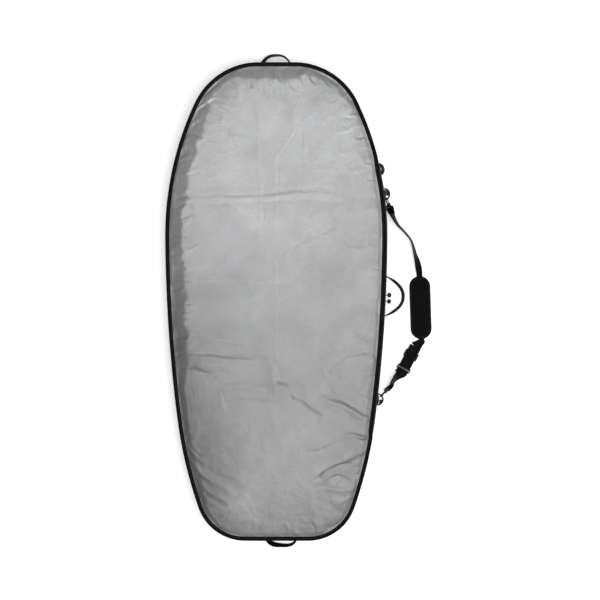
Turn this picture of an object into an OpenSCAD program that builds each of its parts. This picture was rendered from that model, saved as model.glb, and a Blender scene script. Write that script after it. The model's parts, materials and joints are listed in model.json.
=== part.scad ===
// Padded board bag for a short, wide foil-surf board, lying flat on its deck side.
// Two padded panels, a two-part gusset with a zip, carry handles, D-rings and a
// clip-on shoulder strap. +Y is the nose, +X the strap side, +Z up. Millimetres.

/* [Outline] */
// Half length of the straight run across the nose
nose_flat = 57; // [45:1:70]
// Radius of the nose corner
nose_r = 225.1; // [215:0.1:235]
// Sweep of the nose corner
nose_sweep = 64.7; // [63:0.1:66]
// Radius of the shoulder curve
shoulder_r = 993; // [960:1:1020]
// Sweep of the shoulder curve
shoulder_sweep = 25.6; // [25:0.1:26]
// Radius of the long rail curve that carries the zip sliders
rail_r = 4725.1; // [4600:0.1:4850]
// Sweep of the long rail curve
rail_sweep = 7.1; // [6.9:0.1:7.3]
// Radius of the hip curve
hip_r = 1389; // [1350:1:1430]
// Sweep of the hip curve
hip_sweep = 12; // [11.5:0.1:12.5]
// Radius of the tail corner
tail_r = 157.5; // [150:0.5:165]

/* [Heights] */
// Height at which the zip runs and the lid folds
zip_z = 55; // [54:0.5:60]
// Height of the silver panel's sewn edge
rim_z = 108; // [104:1:120]
// How far the silver panel crowns above its edge
crown = 30; // [15:1:40]
// Height of the carry handles
handle_z = 25; // [24:0.5:26]
// Height of the D-ring bars
ring_z = 36; // [35:0.5:36]

/* [Fabric layers] */
// Thickness of the outer fabric
skin_t = 1.2; // [0.8:0.1:1.2]
// Thickness of the padding foam in the two panels
foam_t = 6; // [4:0.5:6]
// Width of the sewn binding
binding_w = 13; // [8:0.5:13]
// Height of the sewn binding
binding_h = 7; // [5:0.5:7]

/* [Zip] */
// Rest position of the nose-side slider along the rail
slider_nose_y = 21; // [20:1:60]
// Rest position of the tail-side slider along the rail
slider_tail_y = 1; // [-60:1:1]
// Length of each slider
slider_l = 16; // [12:1:18]
// Length of each pull tab
pull_l = 16; // [12:1:18]
// Where the zip starts on the fold side, towards the nose
spine_y1 = 360; // [340:5:380]
// Where the zip ends on the fold side, towards the tail
spine_y0 = -60; // [-80:5:-40]

/* [Handles] */
// Distance between the side handle's sewn ends
side_span = 128; // [120:1:140]
// How far the side handle stands out
side_reach = 60; // [45:1:64]
// Centre of the side handle along the bag
side_y = 17; // [10:1:30]
// Width of the handle webbing
handle_w = 25; // [20:1:25]
// Distance between the nose loop's sewn ends
nose_span = 106; // [80:1:110]
// How far the nose loop stands out
nose_reach = 38; // [18:1:40]
// Distance between the tail loop's sewn ends
tail_span = 106; // [80:1:110]
// How far the tail loop stands out
tail_reach = 30; // [16:1:32]

/* [Rings and strap] */
// Radius of the D-ring's arc
ring_r = 17; // [17:0.5:18]
// Radius of the D-ring's wire
wire_r = 2; // [1.8:0.1:2]
// Position of the spare ring along the bag
spare_y = 428; // [420:1:440]
// Position of the upper strap ring along the bag
upper_y = 347; // [340:1:355]
// Position of the lower strap ring along the bag
lower_y = -317; // [-325:1:-310]
// Width of the strap webbing
strap_w = 38; // [30:1:38]
// Thickness of the strap webbing
strap_t = 1.6; // [1.2:0.1:2]
// Length of the shoulder pad
pad_l = 203; // [190:1:206]
// Width of the shoulder pad
pad_w = 66.6; // [60:0.1:70]
// Thickness of the shoulder pad
pad_t = 15; // [13:0.5:18]

/* [Hidden] */
$fn = 48;

silver = [0.75, 0.76, 0.77];
black = [0.07, 0.07, 0.08];
grey = [0.35, 0.35, 0.37];

ply_gap = 0.2; // between neighbouring layers
pin_play = 0.05; // radial, between a bar and what turns on it

// ---- outline: tangent arcs walked from the nose to the tail ----
radii = [nose_r, shoulder_r, rail_r, hip_r, tail_r];
sweeps = [nose_sweep, shoulder_sweep, rail_sweep, hip_sweep,
    180 - nose_sweep - shoulder_sweep - rail_sweep - hip_sweep];
fine = [10, 7, 5, 5, 10]; // segments in each arc
coarse = [6, 4, 3, 3, 6];
// heading and point at which arc i starts
function heading(i) = i == 0 ? 0 : heading(i - 1) + sweeps[i - 1];
function start(i) = i == 0 ? [nose_flat, 0]
    : let (a = heading(i - 1), b = heading(i))
        start(i - 1) + radii[i - 1] * [sin(b) - sin(a), cos(b) - cos(a)];
bag_l = -start(5)[1];
function centre(i) = start(i) - radii[i] * [sin(heading(i)), cos(heading(i))] + [0, bag_l / 2];
function arc_points(i, count, offset) = [for (j = [0:count])
    let (angle = heading(i) + sweeps[i] * j / count)
        centre(i) + (radii[i] + offset) * [sin(angle), cos(angle)]];
function right_side(offset, segments) = [for (i = [0:4])
    let (points = arc_points(i, segments[i], offset))
        for (j = [0:i == 4 ? segments[i] : segments[i] - 1]) points[j]];
function outline(offset, segments = fine) = let (right = right_side(offset, segments))
    concat(right, [for (i = [len(right) - 1:-1:0]) [-right[i][0], right[i][1]]]);
// x of the right-hand side at height y along the bag
function side_x(y, offset, i = 0) =
    (i == 4 || y > centre(i)[1] + (radii[i] + offset) * cos(heading(i + 1)))
    ? centre(i)[0] + sqrt(pow(radii[i] + offset, 2) - pow(y - centre(i)[1], 2))
    : side_x(y, offset, i + 1);
// turn about Z that brings +Y onto the line from point b to point a
function y_turn(a, b) = -atan2(a[0] - b[0], a[1] - b[1]);

// offsets of the layers from the outline, negative inwards
wall_out = -4;
wall_in = wall_out - skin_t;
foam_out = wall_in - ply_gap;
foam_in = foam_out - 5;
lining_t = 0.8;
lining_out = foam_in - ply_gap;
lining_in = lining_out - lining_t;
binding_in = -(binding_w - 7.2);
panel_offset = binding_in - 0.7;
// pieces laid on the outside of the wall
sewn_in = wall_out + ply_gap;
tape_out = wall_out + 1;
patch_out = wall_out + 1.2;
coil_out = -1.8;
coil_in = -5.2;

// heights of the layers
deck_foam_z = skin_t + ply_gap;
deck_lining_z = deck_foam_z + foam_t + ply_gap;
deck_binding_z = 0.4;
gusset_z = deck_binding_z + binding_h + ply_gap;
lower_top = zip_z - 7.2;
lower_pad_top = lower_top - 1.8;
upper_bottom = zip_z + 7;
upper_pad_bottom = upper_bottom + 2;
silver_binding_z = rim_z - 3;
upper_top = silver_binding_z - ply_gap;

// distances up or down from the zip's centre line
coil_near = 0.8;
coil_far = coil_near + 2.7;
tape_near = coil_far + ply_gap;
tape_far = 15;

// end stops on the fold side
stop_gap = 1.5;
stop_l = 7;
stop_margin = 0.6;
coil_trim = stop_gap + stop_l + 0.5;

// reach of the blocks that cut out part of the bag
clip_x = 420;
clip_y = 900;
clip_z = 100;

module band(outer, inner, bottom, top) {
    translate([0, 0, bottom]) linear_extrude(top - bottom) difference() {
        polygon(outline(outer));
        polygon(outline(inner));
    }
}
module plate(offset, bottom, top) {
    translate([0, 0, bottom]) linear_extrude(top - bottom) polygon(outline(offset));
}
// the stretch of rail on the fold side that has no zip
module fold_zone(extra, bottom, top) {
    translate([-clip_x, spine_y0 - extra, bottom])
        cube([clip_x, spine_y1 - spine_y0 + 2 * extra, top - bottom]);
}
module zip_band(outer, inner, bottom, top, extra) {
    difference() {
        band(outer, inner, bottom, top);
        fold_zone(extra, bottom - 1, top + 1);
    }
}
module zip_tape(bottom, top) { zip_band(tape_out, sewn_in, bottom, top, 1); }
module zip_coil(bottom, top) { zip_band(coil_out, coil_in, bottom, top, coil_trim); }

// ---- deck side (base) ----
module deck_panel_shell() { color(black) plate(panel_offset, 0, skin_t); }
module deck_panel_foam() {
    color(grey) plate(panel_offset - 0.2, deck_foam_z, deck_foam_z + foam_t);
}
module deck_panel_lining() {
    color(grey) plate(lining_in - ply_gap, deck_lining_z, deck_lining_z + lining_t);
}
module deck_binding() {
    color(black) band(0, binding_in, deck_binding_z, deck_binding_z + binding_h);
}
module gusset_lower_shell() { color(black) band(wall_out, wall_in, gusset_z, lower_top); }
module gusset_lower_foam() { color(grey) band(foam_out, foam_in, gusset_z, lower_pad_top); }
module gusset_lower_lining() {
    color(grey) band(lining_out, lining_in, gusset_z, lower_pad_top);
}
module zip_tape_lower() { color(black) zip_tape(zip_z - tape_far, zip_z - tape_near); }
module zip_coil_lower() { color(black) zip_coil(zip_z - coil_far, zip_z - coil_near); }
module zip_end_stops() {
    color(grey) for (y = [spine_y1 + stop_gap, spine_y0 - stop_gap - stop_l]) intersection() {
        band(coil_out + stop_margin, coil_in - stop_margin,
            zip_z - coil_far, zip_z - coil_near + 0.3);
        translate([-clip_x, y, 0]) cube([clip_x, stop_l, clip_z]);
    }
}
module spine_fold() {
    color(black) intersection() {
        band(tape_out, sewn_in, zip_z - tape_far, zip_z - 0.1);
        fold_zone(-0.5, 0, clip_z);
    }
}

nose_handle_x = -2.5;
tail_handle_x = 16;
side_patch_l = 32;
loop_patch_w = 24;
loop_patch_inset = 10; // from the loop's sewn end to the patch's centre
// the part of the patch layer above one rectangle in plan
module patch(x, y, width, length) {
    intersection() {
        band(patch_out, sewn_in, handle_z - 12.9, handle_z + 13.5);
        translate([x, y, 0]) cube([width, length, clip_z]);
    }
}
module loop_patch(x, y, span, side) {
    patch(x + side * (span / 2 - loop_patch_inset) - loop_patch_w / 2, y, loop_patch_w, clip_y);
}
module handle_patches() {
    color(black) for (side = [-1, 1]) {
        patch(0, side_y + side * side_span / 2 - side_patch_l / 2, clip_x, side_patch_l);
        loop_patch(nose_handle_x, 0, nose_span, side);
        loop_patch(tail_handle_x, -clip_y, tail_span, side);
    }
}

// ---- silver side (lid) ----
silver_skin_t = 1;
silver_foam_drop = silver_skin_t + ply_gap;
silver_lining_drop = silver_foam_drop + foam_t + ply_gap;
silver_trim = 0.985; // edge of the foam and lining, as a share of the way out
dome_rings = 6;

// height of the crowned panel at a share of the way out to its edge
function crown_z(share) = crown * pow(1 - pow(share, 4), 0.6);
// one crowned layer whose top lies drop below the panel's top; every layer shares
// the same facets, so the layers stay parallel, and edge_share trims the outer edge
module dome(edge_share, drop, thickness) {
    edge = outline(panel_offset, coarse);
    count = len(edge);
    // shares from the edge to near the middle, closer together at the edge
    full = [for (k = [0:dome_rings]) 1 - pow(k / (dome_rings + 0.6), 1.7)];
    shares = [for (k = [0:dome_rings]) k == 0 ? edge_share : full[k]];
    // the trimmed edge stays on the straight slope of the outermost facets
    rise = [for (k = [0:dome_rings])
        k == 0 ? crown_z(full[1]) * (1 - edge_share) / (1 - full[1]) : crown_z(full[k])];
    top_z = rim_z - drop;
    function layer(base_z) = [for (k = [0:dome_rings]) for (point = edge)
        concat(point * shares[k], [base_z + rise[k]])];
    layer_size = (dome_rings + 1) * count;
    points = concat(layer(top_z), layer(top_z - thickness),
        [[0, 0, top_z + crown], [0, 0, top_z - thickness + crown]]);
    top = [for (k = [0:dome_rings - 1]) for (j = [0:count - 1])
        let (a = k * count + j, b = k * count + (j + 1) % count)
            each [[a, b, b + count], [a, b + count, a + count]]];
    bottom = [for (face = top) [for (i = [2:-1:0]) face[i] + layer_size]];
    // fans that close the innermost ring, above and below
    caps = [for (j = [0:count - 1])
        let (a = dome_rings * count + j, b = dome_rings * count + (j + 1) % count)
            each [[a, b, 2 * layer_size], [b + layer_size, a + layer_size, 2 * layer_size + 1]]];
    rim = [for (a = [0:count - 1]) let (b = (a + 1) % count)
        each [[b, a, a + layer_size], [b, a + layer_size, b + layer_size]]];
    polyhedron(points, concat(top, bottom, caps, rim), convexity = 4);
}
module silver_panel_shell() { color(silver) dome(1, 0, silver_skin_t); }
module silver_panel_foam() { color(grey) dome(silver_trim, silver_foam_drop, foam_t); }
module silver_panel_lining() { color(grey) dome(silver_trim, silver_lining_drop, lining_t); }
module silver_binding() {
    color(black) band(0, binding_in, silver_binding_z, silver_binding_z + binding_h);
}
module gusset_upper_shell() {
    color(black) union() {
        band(wall_out, wall_in, upper_bottom, upper_top);
        // reaches down to the fold where there is no zip
        intersection() {
            band(wall_out, wall_in, zip_z + 0.2, upper_bottom + 2);
            fold_zone(-0.5, 0, 200);
        }
    }
}
module gusset_upper_foam() { color(grey) band(foam_out, foam_in, upper_pad_bottom, rim_z - 4); }
module gusset_upper_lining() {
    color(grey) band(lining_out, lining_in, upper_pad_bottom, upper_top - foam_t);
}
module zip_tape_upper() { color(black) zip_tape(zip_z + tape_near, zip_z + tape_far); }
module zip_coil_upper() { color(black) zip_coil(zip_z + coil_near, zip_z + coil_far); }

// ---- zip sliders: they run round the long rail curve's centre ----
slider_h = 12;
slider_web_t = 1.2;
inner_plate_t = 1.8;
lug_h = 1.8;
lug_w = 4;
lug_z = 4.2; // from the zip's centre line to the lug's middle
slider_pin_x = 3;
slider_pin_r = 1;
slider_pin_l = 9;
pull_h = 5.8; // at the pin
pull_neck_w = 3.2;
lug_clear_h = 4.1;
grip_r = 7.2;
grip_h = 12;

// local frame: x outwards, y along the rail towards the nose, z up from the
// bag's base, origin on the outline
module on_rail(y) {
    rail = centre(2);
    translate([rail[0], rail[1], 0]) rotate([0, 0, asin((y - rail[1]) / rail_r)])
        translate([rail_r, 0, 0]) children();
}
module slider() {
    back = -slider_l / 2;
    bottom = zip_z - slider_h / 2;
    union() {
        // outer plate, web between the two coils, inner plate
        translate([-1, back, bottom]) cube([1.9, slider_l, slider_h]);
        translate([-6.6, back, zip_z - slider_web_t / 2]) cube([6, slider_l, slider_web_t]);
        translate([-8, back, bottom]) cube([inner_plate_t, slider_l, slider_h]);
        // lip behind the outer plate's lower edge
        translate([-1.6, back, bottom]) cube([1, slider_l, 1.8]);
        // lugs that hold the pull's pin
        for (side = [-1, 1]) translate([0.5, -lug_w / 2, zip_z + side * lug_z - lug_h / 2])
            cube([4.1, lug_w, lug_h]);
        translate([slider_pin_x, 0, zip_z - slider_pin_l / 2])
            cylinder(r = slider_pin_r, h = slider_pin_l);
    }
}
module pull() {
    bottom = zip_z - pull_h / 2;
    difference() {
        union() {
            translate([slider_pin_x, 0, bottom]) cylinder(r = 2, h = pull_h);
            translate([slider_pin_x, -pull_neck_w / 2, bottom]) cube([5, pull_neck_w, pull_h]);
            translate([pull_l - 5.4, 0, zip_z - grip_h / 2]) cylinder(r = grip_r, h = grip_h);
        }
        translate([slider_pin_x, 0, zip_z - 4]) cylinder(r = slider_pin_r + pin_play, h = 8);
        // room for the lugs, below and above
        for (z = [bottom - lug_clear_h, bottom + pull_h])
            translate([slider_pin_x, 0, z]) cylinder(r = 3.5, h = lug_clear_h);
    }
}
module slider_nose() { color(grey) on_rail(slider_nose_y) slider(); }
module slider_tail() { color(grey) on_rail(slider_tail_y) slider(); }
module pull_nose() { color(black) on_rail(slider_nose_y) pull(); }
module pull_tail() { color(black) on_rail(slider_tail_y) pull(); }

// ---- handles ----
side_web_t = 3;
side_inset = 6; // taken off the span for the centre line
side_gap = 1.8; // between the patch and the handle's ends
taper_x = 32; // where the side handle reaches full width
taper_start_x = -0.3;
taper_end_w = 1.8; // width at the sewn ends
loop_w = 9;
loop_t = 2;
loop_inset = 10;
loop_gap = 1.6;

// a bowed loop's centre line; a higher power makes it squarer
function bow_path(span, reach, power, steps = 24) = [for (i = [-steps:steps])
    [reach * (1 - pow(abs(i / steps), power)), span / 2 * i / steps]];
function unit(v) = v / norm(v);
function side_path(path, offset) = [for (i = [0:len(path) - 1])
    let (along = unit(path[min(i + 1, len(path) - 1)] - path[max(i - 1, 0)]))
        path[i] + offset * [along[1], -along[0]]];
function strip(path, width) =
    let (right = side_path(path, width / 2), left = side_path(path, -width / 2))
        concat(right, [for (i = [len(left) - 1:-1:0]) left[i]]);

function side_end(y) = [side_x(y, patch_out) + side_gap, y];
module side_handle() {
    nose_end = side_end(side_y + side_span / 2);
    tail_end = side_end(side_y - side_span / 2);
    middle = (nose_end + tail_end) / 2;
    tip_x = side_reach + 5;
    // the webbing stands on edge and is folded narrower towards its sewn ends
    color(black) translate([middle[0], middle[1], handle_z])
        rotate([0, 0, y_turn(nose_end, tail_end)]) intersection() {
            translate([0, 0, -handle_w / 2]) linear_extrude(handle_w)
                polygon(strip(bow_path(side_span - side_inset, side_reach, 2.2), side_web_t));
            translate([0, side_span, 0]) rotate([90, 0, 0]) linear_extrude(2 * side_span)
                polygon([[taper_start_x, -taper_end_w / 2], [taper_x, -handle_w / 2],
                    [tip_x, -handle_w / 2], [tip_x, handle_w / 2],
                    [taper_x, handle_w / 2], [taper_start_x, taper_end_w / 2]]);
        }
}
module flat_loop(span, reach) {
    intersection() {
        translate([0, 0, -loop_t / 2]) linear_extrude(loop_t)
            polygon(strip(bow_path(span - loop_inset, reach - loop_w / 2, 2.6), loop_w));
        translate([0, -span, -5]) cube([reach + 10, 2 * span, 10]);
    }
}
// end is 1 at the nose and -1 at the tail
module end_handle(x, end, span, reach) {
    translate([x, end * (bag_l / 2 + patch_out + loop_gap), handle_z])
        rotate([0, 0, end * 90]) flat_loop(span, reach);
}
module nose_handle() { color(black) end_handle(nose_handle_x, 1, nose_span, nose_reach); }
module tail_handle() { color(black) end_handle(tail_handle_x, -1, tail_span, tail_reach); }

// ---- D-rings and their tabs ----
tab_r = wire_r + strap_t;
strap_tab_l = 27;
spare_tab_l = 15;
// bar position that clears the wall along the whole length of the bar
function bar_x(y) = max([for (step = [-19:2:19]) side_x(y + step, tape_out)]) + tab_r + 0.3;
upper_bar = [bar_x(upper_y), upper_y];
lower_bar = [bar_x(lower_y), lower_y];
spare_bar = [side_x(spare_y, tape_out) + tab_r + 0.8, spare_y];
chord_turn = y_turn(upper_bar, lower_bar);
spare_turn = y_turn([side_x(spare_y + 15, 0), 15], [side_x(spare_y - 15, 0), -15]);
// each ring: bar centre, turn about Z, tilt about the bar, angle of the strap's pull
upper = [upper_bar, chord_turn, 30, -65];
lower = [lower_bar, chord_turn, 20, 45];
spare = [spare_bar, spare_turn, 38];

module at_bar(ring) {
    translate([ring[0][0], ring[0][1], ring_z]) rotate([0, 0, ring[1]]) children();
}
module at_ring(ring) { at_bar(ring) rotate([0, ring[2], 0]) children(); }
// a round bar that carries a flat bow, with a thinner web between the two web ends
module d_ring(inner_r, outer_r, thickness, web = []) {
    union() {
        rotate([90, 0, 0]) cylinder(r = wire_r, h = 2 * ring_r + 4, center = true);
        rotate([0, 0, -90]) rotate_extrude(angle = 180)
            translate([inner_r, -thickness / 2]) square([outer_r - inner_r, thickness]);
        if (len(web) > 0) intersection() {
            translate([5.3, web[0], -1.1]) cube([outer_r, web[1] - web[0], 2.2]);
            cylinder(r = inner_r + 1.5, h = 6, center = true);
        }
    }
}
module strap_d_ring(web) { d_ring(ring_r - 1.5, ring_r + 2.9, 3.2, web); }
module ring_tab(length) {
    difference() {
        union() {
            rotate([90, 0, 0]) cylinder(r = tab_r, h = length, center = true);
            translate([-tab_r, -length / 2, -strap_t]) cube([tab_r, length, 2 * strap_t]);
        }
        rotate([90, 0, 0]) cylinder(r = wire_r + pin_play, h = length + 2, center = true);
    }
}
module ring_tabs() {
    color(black) {
        at_bar(spare) ring_tab(spare_tab_l);
        at_bar(upper) ring_tab(strap_tab_l);
        at_bar(lower) ring_tab(strap_tab_l);
    }
}
module spare_d_ring() { color(grey) at_ring(spare) d_ring(ring_r - 8.4, ring_r + 2.6, 3); }
module d_ring_upper() { color(grey) at_ring(upper) strap_d_ring([-3.5, 20]); }
module d_ring_lower() { color(grey) at_ring(lower) strap_d_ring([-20, -0.5]); }

// ---- hooks ----
crook_r = 4.9;
crook_wire_r = 1.8;
shank_r = 2;
hook_body_x = 19;
hook_body_w = 7;
gate_pin_x = 16.5;
gate_pin_r = 1.2;
gate_tip_x = 3.5;
gate_eye_w = 3;
frame_r = 1.8; // bars of the hook's eye and of the strap ring
corner_r = 2.1;
eye_h = strap_w / 2 + 2.2; // half height
eye_near_x = 25;
eye_far_x = 34;

// hook frame: origin in the ring's wire, x along the pull, z across the hook's opening
module at_hook(ring) {
    at_ring(ring) rotate([0, 0, ring[3]]) translate([ring_r, 0, 0]) children();
}
module hook() {
    union() {
        // crook with a long and a short leg
        translate([1, 0, 0]) rotate([90, 0, 0]) rotate([0, 0, 90])
            rotate_extrude(angle = 180) translate([crook_r, 0]) circle(r = crook_wire_r);
        translate([0, 0, -crook_r]) rotate([0, 90, 0]) cylinder(r = shank_r, h = 20);
        translate([0, 0, crook_r]) rotate([0, 90, 0]) cylinder(r = shank_r, h = 3);
        // body, with lugs and a pin for the gate
        translate([hook_body_x, -hook_body_w / 2, -6.9]) cube([5, hook_body_w, 14.3]);
        for (side = [-1, 1]) translate([14, side * 2.6 - 0.9, 2.4]) cube([6, 1.8, 5]);
        translate([gate_pin_x, hook_body_w / 2, crook_r]) rotate([90, 0, 0])
            cylinder(r = gate_pin_r, h = hook_body_w);
        // rectangular eye for the webbing, with a web between its bars
        for (x = [eye_near_x, eye_far_x])
            translate([x, 0, -eye_h]) cylinder(r = frame_r, h = 2 * eye_h);
        translate([eye_near_x + 0.1, -1.1, 0.3 - eye_h]) cube([4.7, 2.2, 2 * eye_h - 0.6]);
        for (side = [-1, 1]) {
            translate([eye_near_x, 0, side * eye_h]) rotate([0, 90, 0])
                cylinder(r = frame_r, h = eye_far_x - eye_near_x);
            for (x = [eye_near_x, eye_far_x])
                translate([x, 0, side * eye_h]) sphere(r = corner_r);
        }
    }
}
module gate() {
    difference() {
        union() {
            translate([gate_pin_x, gate_eye_w / 2, crook_r]) rotate([90, 0, 0])
                cylinder(r = 2.2, h = gate_eye_w);
            translate([gate_tip_x, 0, crook_r]) rotate([0, 90, 0])
                cylinder(r = 1.4, h = gate_pin_x - gate_tip_x - 1.5);
        }
        translate([gate_pin_x, 3, crook_r]) rotate([90, 0, 0])
            cylinder(r = gate_pin_r + pin_play, h = 6);
    }
}
module hook_upper() { color(grey) at_hook(upper) hook(); }
module hook_lower() { color(grey) at_hook(lower) hook(); }
module gate_upper() { color(grey) at_hook(upper) gate(); }
module gate_lower() { color(grey) at_hook(lower) gate(); }

// ---- strap ----
pad_c = [467, -20];
pad_turn = 1.86;
pad_z = 2.4;
pad_strap_z = pad_z + 3.9;
// the doubled, adjustable run on the tail side of the pad
run_start = [450, -148];
run_dir = [-0.4745, -0.8803];
run_l = 72;
run_z = 9;
run_half_gap = 3; // from the run's middle to each layer's middle
frame_half_w = strap_w / 2 + 2.4; // of the strap ring and tri-glide
ring_gap = 10.4; // between the strap ring's bars
ring_web_w = 2.6;
glide_at = 30; // along the run
glide_pitch = 10.5;
glide_bar_r = 1.6;
glide_side_t = 3.8;
glide_half_l = glide_pitch + glide_bar_r;

function pad_point(y) = pad_c + y * [-sin(pad_turn), cos(pad_turn)];
function run_point(along) = run_start + along * run_dir;
// the point past a hook's eye, along the pull from the ring's bar
function eye_point(ring, past) = let (
        reach = ring_r + eye_far_x + past,
        x = reach * cos(ring[3]) * cos(ring[2]),
        y = reach * sin(ring[3]),
        z = -reach * cos(ring[3]) * sin(ring[2]))
    [ring[0][0] + x * cos(ring[1]) - y * sin(ring[1]),
        ring[0][1] + x * sin(ring[1]) + y * cos(ring[1]), ring_z + z];

// Catmull-Rom curve between b and c, t from 0 to 1
function curve(a, b, c, d, t) = 0.5 * (2 * b + (c - a) * t
    + (2 * a - 5 * b + 4 * c - d) * t * t + (3 * b - a - 3 * c + d) * t * t * t);
function smooth(rows, steps) = let (last = len(rows) - 1)
    [for (i = [0:last - 1]) for (j = [0:i == last - 1 ? steps : steps - 1])
        curve(rows[max(i - 1, 0)], rows[i], rows[i + 1], rows[min(i + 2, last)], j / steps)];
// a ribbon through rows of x, y, z, turn from flat, width, thickness
module ribbon(rows) {
    stations = smooth(rows, 5);
    last = len(stations) - 1;
    function place(i) = [for (axis = [0:2]) stations[i][axis]];
    points = [for (i = [0:last]) let (
            along = unit(place(min(i + 1, last)) - place(max(i - 1, 0))),
            flat = unit(cross(along, [0, 0, 1])),
            rise = cross(flat, along),
            across = flat * cos(stations[i][3]) + rise * sin(stations[i][3]),
            half_w = stations[i][4] / 2 * across,
            half_t = stations[i][5] / 2 * cross(along, across))
        each [place(i) + half_w + half_t, place(i) - half_w + half_t,
            place(i) - half_w - half_t, place(i) + half_w - half_t]];
    walls = [for (i = [0:last - 1]) for (j = [0:3]) let (a = 4 * i + j, b = 4 * i + (j + 1) % 4)
        each [[a, a + 4, b + 4], [a, b + 4, b]]];
    end = 4 * last;
    caps = [[0, 1, 2], [0, 2, 3], [end + 2, end + 1, end], [end + 3, end + 2, end]];
    polyhedron(points, concat(walls, caps), convexity = 6);
}
// local frame: x along the run towards the tail
module at_run(along) {
    point = run_point(along);
    translate([point[0], point[1], run_z])
        rotate([0, 0, atan2(run_dir[1], run_dir[0])]) children();
}
module strap_webbing() {
    color(black) {
        // from the upper hook, through the pad, to the doubled run
        ribbon([
            concat(eye_point(upper, 2.3), [60, strap_w, 3.2]),
            concat(eye_point(upper, 14), [62, strap_w, 3.2]),
            [390, 252, 26, 66, strap_w, 3.2],
            [413.4, 226.9, 24, 72, strap_w, strap_t],
            [433.6, 202.2, 22, 72, strap_w, strap_t],
            [442.5, 180, 21, 68, strap_w, strap_t],
            [450.2, 149.4, 19, 60, strap_w - 1, strap_t],
            [457.5, 124, 14, 44, 30, 2],
            concat(pad_point(pad_l / 2 + 12), [pad_strap_z + 1.5, 14, 20, 2.8]),
            concat(pad_point(pad_l / 2 + 2), [pad_strap_z, 0, 19, 3]),
            concat(pad_c, [pad_strap_z, 0, 19, 3]),
            concat(pad_point(-pad_l / 2 - 2), [pad_strap_z, 0, 19, 3]),
            concat(pad_point(-pad_l / 2 - 9) - [0.5, 0], [pad_strap_z + 0.5, 0, 21, 2.8]),
            concat(run_point(-0.3), [run_z, 0, strap_w, 2.4])
        ]);
        // doubled run: two layers joined at both ends
        at_run(0) union() {
            for (side = [-1, 1])
                translate([0, -strap_w / 2, side * run_half_gap - strap_t / 2])
                    cube([run_l, strap_w, strap_t]);
            for (x = [0, run_l - strap_t])
                translate([x, -strap_w / 2, -run_half_gap - strap_t / 2])
                    cube([strap_t, strap_w, 2 * run_half_gap + strap_t]);
        }
    }
}
module strap_tail_webbing() {
    color(black) ribbon([
        concat(run_point(run_l + 15.2), [run_z, 0, strap_w, 3.2]),
        concat(run_point(run_l + 20), [run_z + 0.8, 8, strap_w, 3.2]),
        [395.5, -238, 15, 40, strap_w, strap_t],
        [381, -253.5, 21, 62, strap_w, strap_t],
        concat(eye_point(lower, 12), [68, strap_w, 3.2]),
        concat(eye_point(lower, 2.3), [70, strap_w, 3.2])
    ]);
}
module strap_ring() {
    color(grey) at_run(run_l + 2.2) union() {
        for (x = [0, ring_gap]) translate([x, 0, 0]) rotate([90, 0, 0])
            cylinder(r = frame_r, h = 2 * frame_half_w, center = true);
        for (side = [-1, 1]) {
            translate([0, side * frame_half_w, 0]) rotate([0, 90, 0])
                cylinder(r = frame_r, h = ring_gap);
            for (x = [0, ring_gap])
                translate([x, side * frame_half_w, 0]) sphere(r = corner_r);
        }
        translate([(ring_gap - ring_web_w) / 2, 0.3 - frame_half_w, -1])
            cube([ring_web_w, 2 * frame_half_w - 0.6, 2]);
    }
}
module tri_glide() {
    color(black) at_run(glide_at) union() {
        for (i = [-1:1]) translate([i * glide_pitch, 0, 0]) rotate([90, 0, 0])
            cylinder(r = glide_bar_r, h = 2 * frame_half_w, center = true);
        for (side = [-1, 1])
            translate([-glide_half_l, side * frame_half_w - glide_side_t / 2, -glide_side_t / 2])
                cube([2 * glide_half_l, glide_side_t, glide_side_t]);
    }
}

// ---- shoulder pad ----
backing_t = 1.5;
cover_t = 2;
cover_lift = backing_t + ply_gap;
pad_foam_lift = 6;
pad_slot_w = 21; // the strap's way through the cover

// the pad's plan shape, smaller by trim in length and width
module pad_shape(trim = 0) {
    length = pad_l - trim;
    width = pad_w - trim;
    union() {
        for (side = [-1, 1])
            translate([0, side * (length - width) / 2]) circle(d = width, $fn = 96);
        square([width, length - width], center = true);
    }
}
module at_pad(lift) {
    translate([pad_c[0], pad_c[1], pad_z + lift]) rotate([0, 0, pad_turn]) children();
}
module pad_cover() {
    color(black) at_pad(cover_lift) difference() {
        linear_extrude(pad_t - cover_lift) pad_shape();
        translate([0, 0, -1]) linear_extrude(pad_t - cover_lift - cover_t + 1)
            pad_shape(2 * cover_t);
        translate([-pad_slot_w / 2, -pad_l, -1]) cube([pad_slot_w, 2 * pad_l, 5.2]);
    }
}
module pad_foam() {
    color(grey) at_pad(pad_foam_lift)
        linear_extrude(pad_t - pad_foam_lift - cover_t - 0.1) pad_shape(2 * cover_t + 0.6);
}
module pad_backing() { color(black) at_pad(0) linear_extrude(backing_t) pad_shape(1); }

deck_panel_shell();
deck_panel_foam();
deck_panel_lining();
deck_binding();
gusset_lower_shell();
gusset_lower_foam();
gusset_lower_lining();
zip_tape_lower();
zip_coil_lower();
zip_end_stops();
spine_fold();
handle_patches();
ring_tabs();
silver_panel_shell();
silver_panel_foam();
silver_panel_lining();
silver_binding();
gusset_upper_shell();
gusset_upper_foam();
gusset_upper_lining();
zip_tape_upper();
zip_coil_upper();
slider_nose();
slider_tail();
pull_nose();
pull_tail();
side_handle();
nose_handle();
tail_handle();
spare_d_ring();
d_ring_upper();
d_ring_lower();
hook_upper();
hook_lower();
gate_upper();
gate_lower();
strap_webbing();
strap_tail_webbing();
strap_ring();
tri_glide();
pad_cover();
pad_foam();
pad_backing();
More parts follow.
